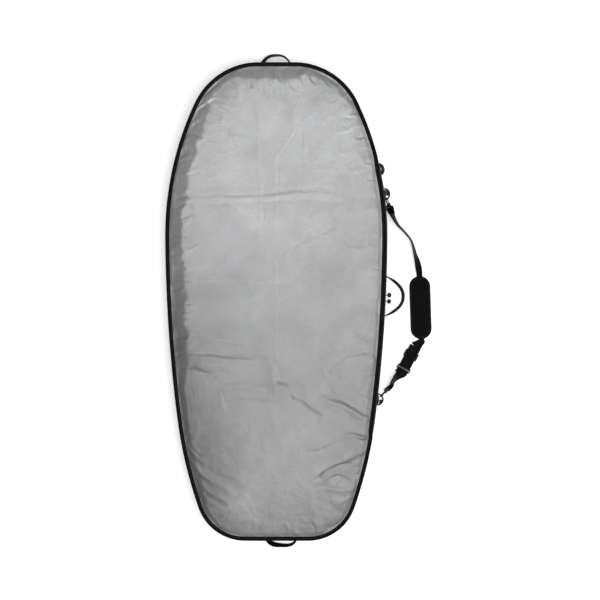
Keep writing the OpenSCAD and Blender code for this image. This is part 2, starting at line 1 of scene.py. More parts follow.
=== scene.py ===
# A padded bag with the outline of a board, lying flat. The deck panel is on the floor at z = 0
# and the silver lid is on top; the nose points to +Y and the tail to -Y. A zip runs round the
# nose, the right side (+X) and the tail; on the left (-X) the lid turns on a fabric fold.
# The shoulder strap lies beyond the right side.
# Lengths are in mm and angles in degrees, except that shaders, lights and camera use metres.
import json
import math
import random

import bmesh
import bpy
import numpy as np
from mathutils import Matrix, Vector, kdtree, noise


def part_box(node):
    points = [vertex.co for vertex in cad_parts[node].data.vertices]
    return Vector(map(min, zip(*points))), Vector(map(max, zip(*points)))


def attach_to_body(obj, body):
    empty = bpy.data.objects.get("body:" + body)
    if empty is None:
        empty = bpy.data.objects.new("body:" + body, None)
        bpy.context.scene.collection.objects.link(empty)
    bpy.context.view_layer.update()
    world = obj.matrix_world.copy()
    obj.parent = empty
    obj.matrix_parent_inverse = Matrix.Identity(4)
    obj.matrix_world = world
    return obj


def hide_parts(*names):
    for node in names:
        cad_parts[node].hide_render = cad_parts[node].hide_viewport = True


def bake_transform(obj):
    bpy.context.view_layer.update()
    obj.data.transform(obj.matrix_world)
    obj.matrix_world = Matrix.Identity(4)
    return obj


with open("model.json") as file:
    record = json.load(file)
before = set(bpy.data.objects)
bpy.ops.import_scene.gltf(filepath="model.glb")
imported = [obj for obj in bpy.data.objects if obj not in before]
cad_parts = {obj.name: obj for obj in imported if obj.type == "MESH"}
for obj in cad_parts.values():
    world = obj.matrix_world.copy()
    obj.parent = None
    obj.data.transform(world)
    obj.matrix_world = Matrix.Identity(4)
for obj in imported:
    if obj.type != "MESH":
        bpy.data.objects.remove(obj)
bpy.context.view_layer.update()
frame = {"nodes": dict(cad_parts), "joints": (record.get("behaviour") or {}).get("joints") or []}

MM = 0.001


def box_mm(node):
    """lowest and highest corner of a CAD piece"""
    return [np.array((corner.x, corner.y, corner.z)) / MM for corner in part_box(node)]


def joint(name):
    """place (mm) and axis of a joint"""
    found = next(j for j in frame["joints"] if j["name"] == name)
    return np.array(found["pos_m"]) / MM, np.array(found["axis"])


def cosd(angle):
    return math.cos(math.radians(angle))


def sind(angle):
    return math.sin(math.radians(angle))


# ------------------------------------------------------------------ main sizes
NOSE_FLAT = 57.0                                  # half the straight run across the nose
RADII = [225.1, 993.0, 4725.1, 1389.0, 157.5]     # tangent arcs of the right side, nose to tail
SWEEPS = [64.7, 25.6, 7.1, 12.0, 70.6]            # and the angle each turns through
RIM = box_mm("silver_binding")[1][2] - 4.0        # height of the lid's sewn edge
CROWN = box_mm("silver_panel_shell")[1][2] - RIM  # rise of the lid above it
RIGHT_INSET = 4.6                                 # the lid's binding sits inboard on the right
ZIP_Z = 55.0
QUILT_PITCH, QUILT_DEPTH = 96.0, 4.6

# ------------------------------------------------------------------ outline
arc_starts, headings = [(NOSE_FLAT, 0.0)], [0.0]
for radius, turn in zip(RADII, SWEEPS):
    x, y = arc_starts[-1]
    heading = headings[-1]
    arc_starts.append((x + radius * (sind(heading + turn) - sind(heading)),
                       y + radius * (cosd(heading + turn) - cosd(heading))))
    headings.append(heading + turn)
TAIL_FLAT, BAG_LENGTH = arc_starts[5][0], -arc_starts[5][1]
CENTRES = [(x - radius * sind(heading), y - radius * cosd(heading) + BAG_LENGTH / 2)
           for (x, y), radius, heading in zip(arc_starts, RADII, headings)]
RUNS = [NOSE_FLAT] + [r * math.radians(a) for r, a in zip(RADII, SWEEPS)] + [TAIL_FLAT]
HALF = sum(RUNS)                                  # length of the outline's right half
RUN_STARTS = np.concatenate([[0], np.cumsum(RUNS)])
binding_low, binding_high = box_mm("deck_binding")
assert abs(binding_high[1] - binding_low[1] - BAG_LENGTH) < 1.5, "outline and CAD disagree"


def right_half(arc):
    """points and outward normals at arc lengths on the right half, nose to tail"""
    points, normals = np.zeros((len(arc), 2)), np.zeros((len(arc), 2))
    for k in range(7):
        here = (arc >= RUN_STARTS[k] - 1e-9) & ((arc < RUN_STARTS[k + 1]) | (k == 6))
        along = arc[here] - RUN_STARTS[k]
        if k == 0:
            points[here] = np.stack([along, np.full_like(along, BAG_LENGTH / 2)], 1)
            normals[here] = (0, 1)
        elif k == 6:
            points[here] = np.stack([TAIL_FLAT - along, np.full_like(along, -BAG_LENGTH / 2)], 1)
            normals[here] = (0, -1)
        else:
            angle = np.radians(headings[k - 1]) + along / RADII[k - 1]
            normals[here] = np.stack([np.sin(angle), np.cos(angle)], 1)
            points[here] = np.array(CENTRES[k - 1]) + RADII[k - 1] * normals[here]
    return points, normals


def around(arc):
    """points and outward normals of the whole outline; arc runs clockwise, seen from above,
    from the nose centre"""
    arc = np.mod(np.asarray(arc, float), 2 * HALF)
    left = arc > HALF
    points, normals = right_half(np.where(left, 2 * HALF - arc, arc))
    points[left, 0] *= -1
    normals[left, 0] *= -1
    return points, normals


def side_x(y, offset):
    """x of the right side at height y, for an outline moved outwards by offset"""
    for i in range(5):
        end = CENTRES[i][1] + (RADII[i] + offset) * cosd(headings[i] + SWEEPS[i])
        if i == 4 or y > end:
            return CENTRES[i][0] + math.sqrt((RADII[i] + offset) ** 2 - (y - CENTRES[i][1]) ** 2)


def arc_at_y(y):
    """arc length where the right side passes y"""
    arc = np.linspace(0, HALF, 4001)
    return float(arc[np.argmin(abs(right_half(arc)[0][:, 1] - y))])


def wall_at(arc, offset, z):
    """3D points at an offset outwards from the outline, and their outward normals"""
    points, normals = around(np.atleast_1d(arc))
    count = len(points)
    place = points + normals * np.broadcast_to(offset, count)[:, None]
    return (np.column_stack([place, np.broadcast_to(z, count)]),
            np.column_stack([normals, np.zeros(count)]))


def smooth(t):
    t = np.clip(t, 0, 1)
    return t * t * (3 - 2 * t)


def noise_at(x, y, z):
    return noise.noise(Vector((x, y, z)))


def noise_line(arc, scale, seed, octaves=2):
    """a smooth random line, about -1 to 1, that closes on itself over the outline"""
    line = np.zeros(len(arc))
    angles = np.asarray(arc) / (2 * HALF) * 2 * math.pi
    radius = 2 * HALF / (2 * math.pi) / scale
    weight, total = 1.0, 0.0
    for octave in range(octaves):
        reach = radius * 2.0 ** octave
        line += weight * np.array([noise_at(reach * math.cos(a), reach * math.sin(a),
                                            seed + 10 * octave) for a in angles])
        total += weight
        weight *= 0.5
    return line / total * 1.6


def bulge_at(y):
    """0 to 1: how full the right side of the gusset stands along the bag"""
    return smooth((470 - y) / 60) * smooth((y + 440) / 30)


def bulge(points):
    return bulge_at(points[:, 1]) * (points[:, 0] > 0)


def inset_of(points):
    return RIGHT_INSET * bulge(points)


# ------------------------------------------------------------------ mesh helpers
def attach(piece, body, replaces=None):
    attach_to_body(piece, body)
    if replaces:
        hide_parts(replaces)


def new_mesh(name, verts, faces, material, uvs=None, smooth_shade=True, outward=False):
    """an object from points in mm, with UVs in mm per face corner"""
    mesh = bpy.data.meshes.new(name)
    mesh.from_pydata([tuple(v) for v in np.asarray(verts, float) * MM], [],
                     [tuple(int(i) for i in face) for face in faces])
    if uvs is not None:
        layer = mesh.uv_layers.new(name="UVMap")
        layer.data.foreach_set("uv", (np.asarray(uvs, float) * MM).astype(np.float32).ravel())
    if smooth_shade:
        mesh.polygons.foreach_set("use_smooth", [True] * len(mesh.polygons))
    mesh.update()
    piece = bpy.data.objects.new(name, mesh)
    bpy.context.scene.collection.objects.link(piece)
    mesh.materials.append(material)
    if outward:
        work = bmesh.new()
        work.from_mesh(mesh)
        bmesh.ops.recalc_face_normals(work, faces=work.faces)
        work.to_mesh(mesh)
        work.free()
    return piece


def lengths(points):
    """distance along a line of points, from its first"""
    steps = np.linalg.norm(np.diff(points, axis=0), axis=1)
    return np.concatenate([[0], np.cumsum(steps)])


def ring_lengths(points):
    """the same for a closed line, with its whole length last"""
    return lengths(np.vstack([points, points[:1]]))


def loft(name, sections, material, along=None, across=None, loop=False):
    """a skin over closed sections[i, j]; it joins up as a loop or gets a cap at each end.
    along and across are UV values, with one value more where the grid closes."""
    sections = np.asarray(sections)
    rows, size = sections.shape[:2]
    faces, uvs = [], []
    for i in range(rows if loop else rows - 1):
        a, b = i * size, ((i + 1) % rows) * size
        for j in range(size):
            k = (j + 1) % size
            faces.append((a + j, b + j, b + k, a + k))
            if along is not None:
                uvs += [(along[i], across[j]), (along[i + 1], across[j]),
                        (along[i + 1], across[j + 1]), (along[i], across[j + 1])]
    if not loop:
        faces += [tuple(range(size)), tuple(range(rows * size - 1, (rows - 1) * size - 1, -1))]
        uvs += [(0, 0)] * (2 * size)
    return new_mesh(name, sections.reshape(-1, 3), faces, material,
                    uvs if along is not None else None, outward=True)


def sweep(name, profile, material, step, start=None, end=None, shape=None):
    """a closed profile [(offset, z)] swept round the whole outline, or from start to end.
    shape(points, arc, sections) may return its own section for every sample."""
    loop = start is None
    if loop:
        count = int(2 * HALF / step)
        arc = np.arange(count) * 2 * HALF / count
    else:
        count = max(3, int((end - start) / step))
        arc = np.linspace(start, end, count)
    points, normals = around(arc)
    profile = np.asarray(profile, float)
    sections = np.repeat(profile[None], count, 0)
    if shape is not None:
        sections = shape(points, arc, sections)
    verts = np.zeros((count, len(profile), 3))
    verts[:, :, :2] = points[:, None] + normals[:, None] * sections[:, :, :1]
    verts[:, :, 2] = sections[:, :, 1]
    along = np.concatenate([arc, [2 * HALF]]) if loop else arc
    return loft(name, verts, material, along, ring_lengths(profile), loop)


def upright(name, heights, faces_at, offsets, material, step, start=None, end=None):
    """a thin upright wall. faces_at(points, arc) yields the offsets of its outer and inner
    face at each height; offsets are their nominal values, which lay out the UVs."""
    def shape(points, arc, sections):
        for j, (outer, inner) in enumerate(faces_at(points, arc)):
            sections[:, j, 0] = outer
            sections[:, -1 - j, 0] = inner
        return sections
    profile = [(offsets[0], z) for z in heights] + [(offsets[1], z) for z in heights[::-1]]
    return sweep(name, profile, material, step, start, end, shape)


def round_rect(inner, outer, bottom, top, radius, steps=3):
    """a rounded rectangle as (offset, z) points, anticlockwise"""
    corners = ((outer - radius, top - radius, 0), (inner + radius, top - radius, 90),
               (inner + radius, bottom + radius, 180), (outer - radius, bottom + radius, 270))
    return [(x + radius * cosd(angle + 90 * j / steps), z + radius * sind(angle + 90 * j / steps))
            for x, z, angle in corners for j in range(steps + 1)]


def catmull(rows, steps):
    """a smooth curve through rows of numbers, with steps points per span"""
    rows = np.asarray(rows, float)
    curve = []
    for i in range(len(rows) - 1):
        a, b, c, d = rows[max(i - 1, 0)], rows[i], rows[i + 1], rows[min(i + 2, len(rows) - 1)]
        for j in range(steps):
            t = j / steps
            curve.append(0.5 * (2 * b + (c - a) * t + (2 * a - 5 * b + 4 * c - d) * t * t
                                + (3 * b - a - 3 * c + d) * t ** 3))
    curve.append(rows[-1])
    return np.array(curve)


def web_section(across, selvedge):
    """webbing's section: x from -1 to 1, height -0.5 to 0.5, rounded with raised selvedges"""
    x = np.linspace(-1, 1, across + 1)
    half = 0.5 * np.sqrt(np.clip(1 - np.abs(x) ** 14, 0.12, 1))
    half += selvedge * np.exp(-((np.abs(x) - 0.86) / 0.05) ** 2)
    return np.vstack([np.stack([x, half], 1), np.stack([x[::-1], -half[::-1]], 1)])


def ribbon(name, rows, steps, cup, across=12):
    """webbing through rows of x, y, z, turn from flat, width, thickness.
    Returns it with its centres, directions across, normals and rows, for stitching."""
    rows = catmull(rows, steps)
    centres = rows[:, :3]
    ahead = np.gradient(centres, axis=0)
    ahead /= np.linalg.norm(ahead, axis=1)[:, None]
    level = np.cross(ahead, (0.0, 0.0, 1.0))
    level /= np.maximum(np.linalg.norm(level, axis=1), 1e-9)[:, None]
    turn = np.radians(rows[:, 3])[:, None]
    sideways = level * np.cos(turn) + np.cross(level, ahead) * np.sin(turn)
    normals = np.cross(ahead, sideways)
    section = web_section(across, selvedge=0.06)
    half, thick = rows[:, 4:5] / 2, rows[:, 5:6]
    lift = section[:, 1] * thick + cup * half * (section[:, 0] ** 2 - 0.33)
    verts = (centres[:, None] + (section[:, 0] * half)[:, :, None] * sideways[:, None]
             + lift[:, :, None] * normals[:, None])
    piece = loft(name, verts, WEB, lengths(centres), np.append((section[:, 0] + 1) * 19.0, 0.0))
    return piece, (centres, sideways, normals, rows)


def bent_webbing(name, path, origin, ahead, up, sideways, thick, width, loop=False):
    """webbing of one width along a path of (ahead, up) points"""
    path = np.array(path)
    tangents = np.roll(path, -1, 0) - np.roll(path, 1, 0) if loop else np.gradient(path, axis=0)
    tangents /= np.linalg.norm(tangents, axis=1)[:, None]
    normals = np.column_stack([-tangents[:, 1], tangents[:, 0]])
    section = web_section(12, selvedge=0.05)
    flat = path[:, None] + normals[:, None] * section[:, 1][:, None] * thick
    ahead, up, sideways = (np.asarray(v, float) for v in (ahead, up, sideways))
    verts = (np.asarray(origin) + flat[:, :, :1] * ahead + flat[:, :, 1:] * up
             + (section[:, 0] * width / 2)[:, None] * sideways)
    return loft(name, verts, WEB, ring_lengths(path) if loop else lengths(path),
                np.append((section[:, 0] + 1) * width / 2, 0.0), loop)


def stitch(place, along, normal, length, radius):
    """one thread stitch: a small raised lozenge lying on a surface"""
    place, along, normal = (np.asarray(v, float) for v in (place, along, normal))
    along = along / np.linalg.norm(along)
    normal = normal / np.linalg.norm(normal)
    side = np.cross(along, normal)
    half = along * length / 2
    sunk = normal * radius * 0.4
    verts = [place - half - sunk]
    for share, fullness in ((-0.55, 1.0), (0.0, 1.15), (0.55, 1.0)):
        for angle in (0, 60, 120, 180, 240, 300):
            spoke = side * cosd(angle) + normal * (sind(angle) * 0.9 + 0.25)
            verts.append(place + half * share + spoke * radius * fullness)
    verts.append(place + half - sunk)
    faces = []
    for j in range(6):
        k = (j + 1) % 6
        faces += [(0, 1 + k, 1 + j), (19, 13 + j, 13 + k)]
        for ring in (0, 6):
            faces.append((1 + ring + j, 1 + ring + k, 7 + ring + k, 7 + ring + j))
    return verts, faces


def stitch_row(points, normals, spacing, length, radius, closed=False):
    """stitches along a line of points; normals may be one for all"""
    points = np.asarray(points, float)
    normals = np.broadcast_to(np.asarray(normals, float), points.shape)
    if closed:
        points = np.vstack([points, points[:1]])
        normals = np.vstack([normals, normals[:1]])
    run = lengths(points)
    count = max(1, int(run[-1] / spacing))
    row = []
    for at in (np.arange(count) + 0.5) * run[-1] / count:
        i = max(min(np.searchsorted(run, at) - 1, len(points) - 2), 0)
        t = (at - run[i]) / max(run[i + 1] - run[i], 1e-9)
        row.append(stitch(points[i] * (1 - t) + points[i + 1] * t, points[i + 1] - points[i],
                          normals[i] * (1 - t) + normals[i + 1] * t, length, radius))
    return row


def sew(name, stitches, body):
    """joins stitches into one piece of thread"""
    verts, faces = [], []
    for stitch_verts, stitch_faces in stitches:
        first = len(verts)
        verts.extend(stitch_verts)
        faces.extend(tuple(i + first for i in face) for face in stitch_faces)
    attach(new_mesh(name, verts, faces, THREAD), body)


# ------------------------------------------------------------------ shader helpers (metres)
def grey(value, blue=None):
    return (value, value, value if blue is None else blue)


class Nodes:
    """short calls that build a node tree; inputs may be values or other nodes' outputs"""
    def __init__(self, owner):
        owner.use_nodes = True
        self.tree = owner.node_tree
        self.tree.nodes.clear()

    def node(self, kind, inputs=None, **settings):
        node = self.tree.nodes.new(kind)
        for key, value in settings.items():
            setattr(node, key, value)
        self.feed(node, inputs or {})
        return node

    def feed(self, node, inputs):
        for socket, value in inputs.items():
            if isinstance(value, bpy.types.NodeSocket):
                self.tree.links.new(value, node.inputs[socket])
            else:
                node.inputs[socket].default_value = value

    def coords(self, kind="Object", scale=(1, 1, 1), rotation=(0, 0, 0)):
        source = self.node("ShaderNodeTexCoord").outputs[kind]
        return self.node("ShaderNodeMapping",
                         {0: source, "Scale": scale, "Rotation": rotation}).outputs[0]

    def xyz(self, vector):
        return self.node("ShaderNodeSeparateXYZ", {0: vector}).outputs

    def noise(self, vector, scale, detail=4, rough=0.55, output="Fac"):
        inputs = {"Vector": vector, "Scale": scale, "Detail": detail, "Roughness": rough}
        return self.node("ShaderNodeTexNoise", inputs).outputs[output]

    def wave(self, vector, scale, axis, distortion=0.0):
        inputs = {"Vector": vector, "Scale": scale, "Distortion": distortion}
        return self.node("ShaderNodeTexWave", inputs, wave_type="BANDS", bands_direction=axis,
                         wave_profile="SIN").outputs["Fac"]

    def voronoi(self, vector, scale, feature="F1"):
        return self.node("ShaderNodeTexVoronoi", {"Vector": vector, "Scale": scale},
                         feature=feature).outputs["Distance"]

    def math(self, operation, a, b=None):
        inputs = {0: a} if b is None else {0: a, 1: b}
        return self.node("ShaderNodeMath", inputs, operation=operation).outputs[0]

    def add(self, a, b):
        return self.math("ADD", a, b)

    def mul(self, a, b):
        return self.math("MULTIPLY", a, b)

    def sub(self, a, b):
        return self.math("SUBTRACT", a, b)

    def weighted(self, a, share_a, b, share_b):
        return self.add(self.mul(a, share_a), self.mul(b, share_b))

    def scale(self, vector, factor):
        return self.node("ShaderNodeVectorMath", {0: vector, "Scale": factor},
                         operation="SCALE").outputs[0]

    def ramp(self, value, stops):
        """stops are (position, colour)"""
        node = self.node("ShaderNodeValToRGB", {0: value})
        elements = node.color_ramp.elements
        while len(elements) < len(stops):
            elements.new(0.5)
        for element, (position, colour) in zip(elements, stops):
            element.position = position
            element.color = (*colour, 1)
        return node.outputs[0]

    def remap(self, value, to, source=(0.3, 0.7), interpolation="LINEAR"):
        inputs = {0: value, 1: source[0], 2: source[1], 3: to[0], 4: to[1]}
        return self.node("ShaderNodeMapRange", inputs,
                         interpolation_type=interpolation).outputs[0]

    def bump(self, height, strength, distance, under=None):
        inputs = {"Height": height, "Strength": strength, "Distance": distance}
        if under is not None:
            inputs["Normal"] = under
        return self.node("ShaderNodeBump", inputs).outputs[0]

    def weave(self, vector, pitch, strength, distance):
        """plain weave of the given pitch: its height, and the bump it makes"""
        bands = band_scale(pitch)
        warp = self.wave(vector, bands, "X")
        weft = self.wave(vector, bands, "Y")
        height = self.math("MAXIMUM", self.mul(warp, self.sub(1.0, weft)),
                           self.mul(weft, self.sub(1.0, warp)))
        return height, self.bump(height, strength, distance)


def band_scale(pitch):
    """wave texture scale for a pitch: at scale 1 a band takes 2 pi / 20"""
    return math.pi * 2 / pitch / 20


class Material(Nodes):
    """a material round one Principled shader"""
    def __init__(self, name, **inputs):
        self.material = bpy.data.materials.new(name)
        super().__init__(self.material)
        output = self.node("ShaderNodeOutputMaterial")
        self.shader = self.node("ShaderNodeBsdfPrincipled")
        names = {"metallic": "Metallic", "spec": "Specular IOR Level", "sheen": "Sheen Weight",
                 "sheen_rough": "Sheen Roughness", "glow": "Emission Strength",
                 "glow_colour": "Emission Color"}
        self.feed(self.shader, {names[key]: value for key, value in inputs.items()})
        self.feed(output, {0: self.shader.outputs[0]})

    def finish(self, colour, rough, normal=None):
        self.feed(self.shader, {"Base Color": colour, "Roughness": rough})
        if normal is not None:
            self.feed(self.shader, {"Normal": normal})
        return self.material


# ------------------------------------------------------------------ materials (metres)
def silver_foil():
    mat = Material("silver_foil_weave", metallic=0.62, spec=0.45)
    place = mat.coords()
    threads, normal = mat.weave(place, pitch=0.0030, strength=0.7, distance=0.00045)
    # crumpled foil: flat facets between sharp little creases, at two sizes
    shift = mat.scale(mat.noise(place, scale=14.0, detail=3, rough=0.5, output="Color"), 0.05)
    warped = mat.node("ShaderNodeVectorMath", {0: place, 1: shift}, operation="ADD").outputs[0]
    wide = mat.math("MINIMUM", mat.voronoi(warped, scale=26.0, feature="DISTANCE_TO_EDGE"), 0.22)
    small = mat.math("MINIMUM", mat.voronoi(warped, scale=62.0, feature="DISTANCE_TO_EDGE"), 0.2)
    patches = mat.remap(mat.noise(place, scale=5.0, detail=3, rough=0.5),
                        source=(0.42, 0.62), to=(0.15, 1.0))
    grain = mat.noise(place, scale=90.0, detail=6, rough=0.68)
    normal = mat.bump(grain, strength=0.55, distance=0.0013, under=normal)
    normal = mat.bump(mat.mul(wide, patches), strength=0.26, distance=0.0050, under=normal)
    normal = mat.bump(mat.mul(small, patches), strength=0.24, distance=0.0030, under=normal)
    tone = mat.weighted(mat.noise(place, scale=6.5, detail=5, rough=0.6), 0.55,
                        mat.noise(place, scale=300.0, detail=3, rough=0.65), 0.45)
    tone = mat.add(tone, mat.mul(mat.sub(threads, 0.4), 0.20))
    colour = mat.ramp(tone, [(0.24, (0.24, 0.243, 0.247)), (0.52, (0.315, 0.318, 0.322)),
                             (0.80, (0.395, 0.398, 0.402))])
    # painted light and shade: the colour is scaled brighter towards the nose, darker towards the
    # tail and a little to the right, and darkest at the tail's left
    sway = mat.mul(mat.sub(mat.noise(place, scale=4.0, detail=3, rough=0.5), 0.5), 0.30)
    x, y = mat.xyz(place)[:2]
    x, y = mat.add(x, sway), mat.add(y, sway)
    light = mat.mul(mat.remap(y, source=(-0.22, 0.60), to=(0.72, 1.18)),
                    mat.remap(x, source=(-0.12, 0.26), to=(1.05, 0.90)))
    # painted shade at the tail's left corner, taking up to 30% off the colour
    corner = mat.mul(mat.remap(x, source=(-0.26, -0.10), to=(1.0, 0.0)),
                     mat.remap(y, source=(-0.34, 0.12), to=(1.0, 0.0)))
    light = mat.mul(light, mat.sub(1.0, mat.mul(corner, 0.30)))
    rough = mat.remap(mat.noise(place, scale=34.0, detail=5, rough=0.65), to=(0.31, 0.46))
    return mat.finish(mat.scale(colour, light), rough, normal)


def black_woven():
    base = 0.0085
    mat = Material("black_woven", sheen=0.0, sheen_rough=0.5, spec=0.20)
    place = mat.coords()
    normal = mat.weave(mat.coords("UV"), pitch=0.0016, strength=0.6, distance=0.0003)[1]
    normal = mat.bump(mat.noise(place, scale=28.0, detail=5, rough=0.6),
                      strength=0.25, distance=0.002, under=normal)
    tone = mat.weighted(mat.noise(place, scale=11.0, detail=5, rough=0.65), 0.75,
                        mat.noise(place, scale=420.0, detail=2, rough=0.5), 0.25)
    colour = mat.ramp(tone, [(0.3, grey(base * 0.6)), (0.55, grey(base, base * 1.06)),
                             (0.78, grey(base * 2.0, base * 2.1))])
    return mat.finish(colour, mat.remap(tone, to=(0.62, 0.82)), normal)


def ribbed_tape(name, base, pitch, spec=0.06):
    """tape or webbing: ribs across its length with a fine twill, laid out by its UVs"""
    mat = Material(name, sheen=0.0, sheen_rough=0.4, spec=spec)
    layout = mat.coords("UV")
    bands = band_scale(pitch)
    ribs = mat.wave(layout, bands, "X", distortion=0.6)
    cross = mat.wave(layout, bands * 1.6, "Y")
    twill = mat.wave(mat.coords("UV", rotation=(0, 0, 0.9)), bands * 1.3, "X")
    height = mat.add(mat.mul(ribs, 0.6), mat.weighted(cross, 0.2, twill, 0.3))
    place = mat.coords()
    tone = mat.weighted(mat.noise(place, scale=18.0, detail=5, rough=0.6), 0.6, height, 0.28)
    colour = mat.ramp(tone, [(0.28, grey(base * 0.55)), (0.5, grey(base, base * 1.08)),
                             (0.75, grey(base * 2.3, base * 2.4))])
    rough = mat.remap(mat.noise(place, scale=60.0, detail=3), to=(0.5, 0.68))
    return mat.finish(colour, rough, mat.bump(height, strength=0.75, distance=0.0004))


def worn_edges(mat, end):
    """1 on outward edges, 0 on flats"""
    pointiness = mat.node("ShaderNodeNewGeometry").outputs["Pointiness"]
    return mat.remap(pointiness, source=(0.52, end), to=(0.0, 1.0))


def plastic(name, base, rough):
    mat = Material(name, spec=0.22)
    place = mat.coords()
    wear = mat.noise(place, scale=60.0, detail=6, rough=0.7)
    tone = mat.weighted(wear, 0.7, worn_edges(mat, 0.62), 0.35)
    colour = mat.ramp(tone, [(0.3, grey(base * 0.8)), (0.6, grey(base * 1.3)),
                             (0.9, grey(base * 5))])
    grain = mat.noise(place, scale=900.0, detail=2, rough=0.5)
    return mat.finish(colour, mat.remap(wear, to=rough),
                      mat.bump(grain, strength=0.25, distance=0.0002))


def metal(name, base, metallic, rough):
    mat = Material(name, metallic=metallic)
    brushed = mat.noise(mat.coords(scale=(1, 1, 6)), scale=700.0, detail=3, rough=0.6)
    smears = mat.noise(mat.coords(), scale=90.0, detail=5, rough=0.65)
    tone = mat.weighted(smears, 0.75, worn_edges(mat, 0.6), 0.4)
    colour = mat.ramp(tone, [(0.3, grey(base * 0.75)), (0.55, grey(base)),
                             (0.85, grey(base * 2.4 + 0.05))])
    return mat.finish(colour, mat.remap(smears, to=rough),
                      mat.bump(brushed, strength=0.2, distance=0.0001))


def padding_foam():
    mat = Material("padding_foam", spec=0.3)
    place = mat.coords()
    cells = mat.voronoi(place, scale=900.0)
    cloud = mat.noise(place, scale=25.0, detail=5)
    colour = mat.ramp(mat.weighted(cloud, 0.7, cells, 0.3),
                      [(0.3, grey(0.20, 0.205)), (0.6, grey(0.29, 0.295)),
                       (0.85, grey(0.36, 0.365))])
    return mat.finish(colour, mat.remap(cloud, to=(0.75, 0.92)),
                      mat.bump(cells, strength=0.5, distance=0.0006))


def grey_lining():
    mat = Material("grey_lining", sheen=0.2, spec=0.35)
    place = mat.coords()
    threads, normal = mat.weave(place, pitch=0.0022, strength=0.5, distance=0.0003)
    cloud = mat.noise(place, scale=9.0, detail=5, rough=0.6)
    colour = mat.ramp(mat.weighted(cloud, 0.8, threads, 0.15),
                      [(0.3, grey(0.165, 0.17)), (0.55, grey(0.19, 0.197)),
                       (0.8, grey(0.225, 0.232))])
    # painted shade along the quilting seams: the colour darkens where the seams pinch in
    x, y = mat.xyz(place)[:2]
    seams = []
    for operation in ("ADD", "SUBTRACT"):
        cell = mat.math("DIVIDE", mat.math(operation, x, y), QUILT_PITCH * MM)
        middle = mat.sub(mat.math("FRACT", cell), 0.5)
        seams.append(mat.mul(mat.math("ABSOLUTE", middle), 2.0))
    shade = mat.remap(mat.math("MAXIMUM", *seams), source=(0.84, 1.0), to=(1.0, 0.42))
    normal = mat.bump(mat.noise(place, scale=40.0, detail=5),
                      strength=0.25, distance=0.002, under=normal)
    return mat.finish(mat.scale(colour, shade), mat.remap(cloud, to=(0.6, 0.8)), normal)


def pad_knit():
    mat = Material("pad_knit", sheen=0.0, sheen_rough=0.5, spec=0.05)
    place = mat.coords()
    cells = mat.voronoi(place, scale=520.0)
    cloud = mat.noise(place, scale=30.0, detail=5, rough=0.6)
    colour = mat.ramp(mat.weighted(cloud, 0.7, cells, 0.35),
                      [(0.3, grey(0.0014)), (0.55, grey(0.0022, 0.0024)),
                       (0.85, grey(0.006, 0.0063))])
    normal = mat.bump(cells, strength=0.6, distance=0.0005)
    normal = mat.bump(mat.noise(place, scale=70.0), strength=0.2, distance=0.001, under=normal)
    return mat.finish(colour, mat.remap(cloud, to=(0.6, 0.8)), normal)


def sewing_thread():
    mat = Material("thread", sheen=0.2, spec=0.4)
    place = mat.coords()
    twist = mat.wave(mat.coords(rotation=(0.3, 0.2, 0.7)), 260.0, "X")
    colour = mat.ramp(mat.weighted(mat.noise(place, scale=50.0), 0.6, twist, 0.3),
                      [(0.3, grey(0.010, 0.0105)), (0.6, grey(0.02, 0.021)),
                       (0.9, grey(0.035, 0.036))])
    rough = mat.remap(mat.noise(place, scale=80.0), to=(0.45, 0.6))
    return mat.finish(colour, rough, mat.bump(twist, strength=0.5, distance=0.0001))


SILVER = silver_foil()
BLACK = black_woven()
TAPE = ribbed_tape("binding_tape", base=0.0022, pitch=0.0022)
WEB = ribbed_tape("webbing_ribbed", base=0.0018, pitch=0.0024)
ZIP_TAPE = ribbed_tape("zip_tape_twill", base=0.0055, pitch=0.0012, spec=0.14)
COIL = plastic("zip_coil_nylon", base=0.006, rough=(0.28, 0.42))
PLASTIC = plastic("moulded_fittings", base=0.003, rough=(0.48, 0.62))
RUBBER = plastic("pull_rubber", base=0.003, rough=(0.5, 0.65))
ENAMEL = metal("slider_enamel", base=0.022, metallic=0.7, rough=(0.25, 0.4))
STEEL = metal("gate_steel", base=0.05, metallic=1.0, rough=(0.3, 0.45))
FOAM = padding_foam()
LINING = grey_lining()
PAD_KNIT = pad_knit()
THREAD = sewing_thread()

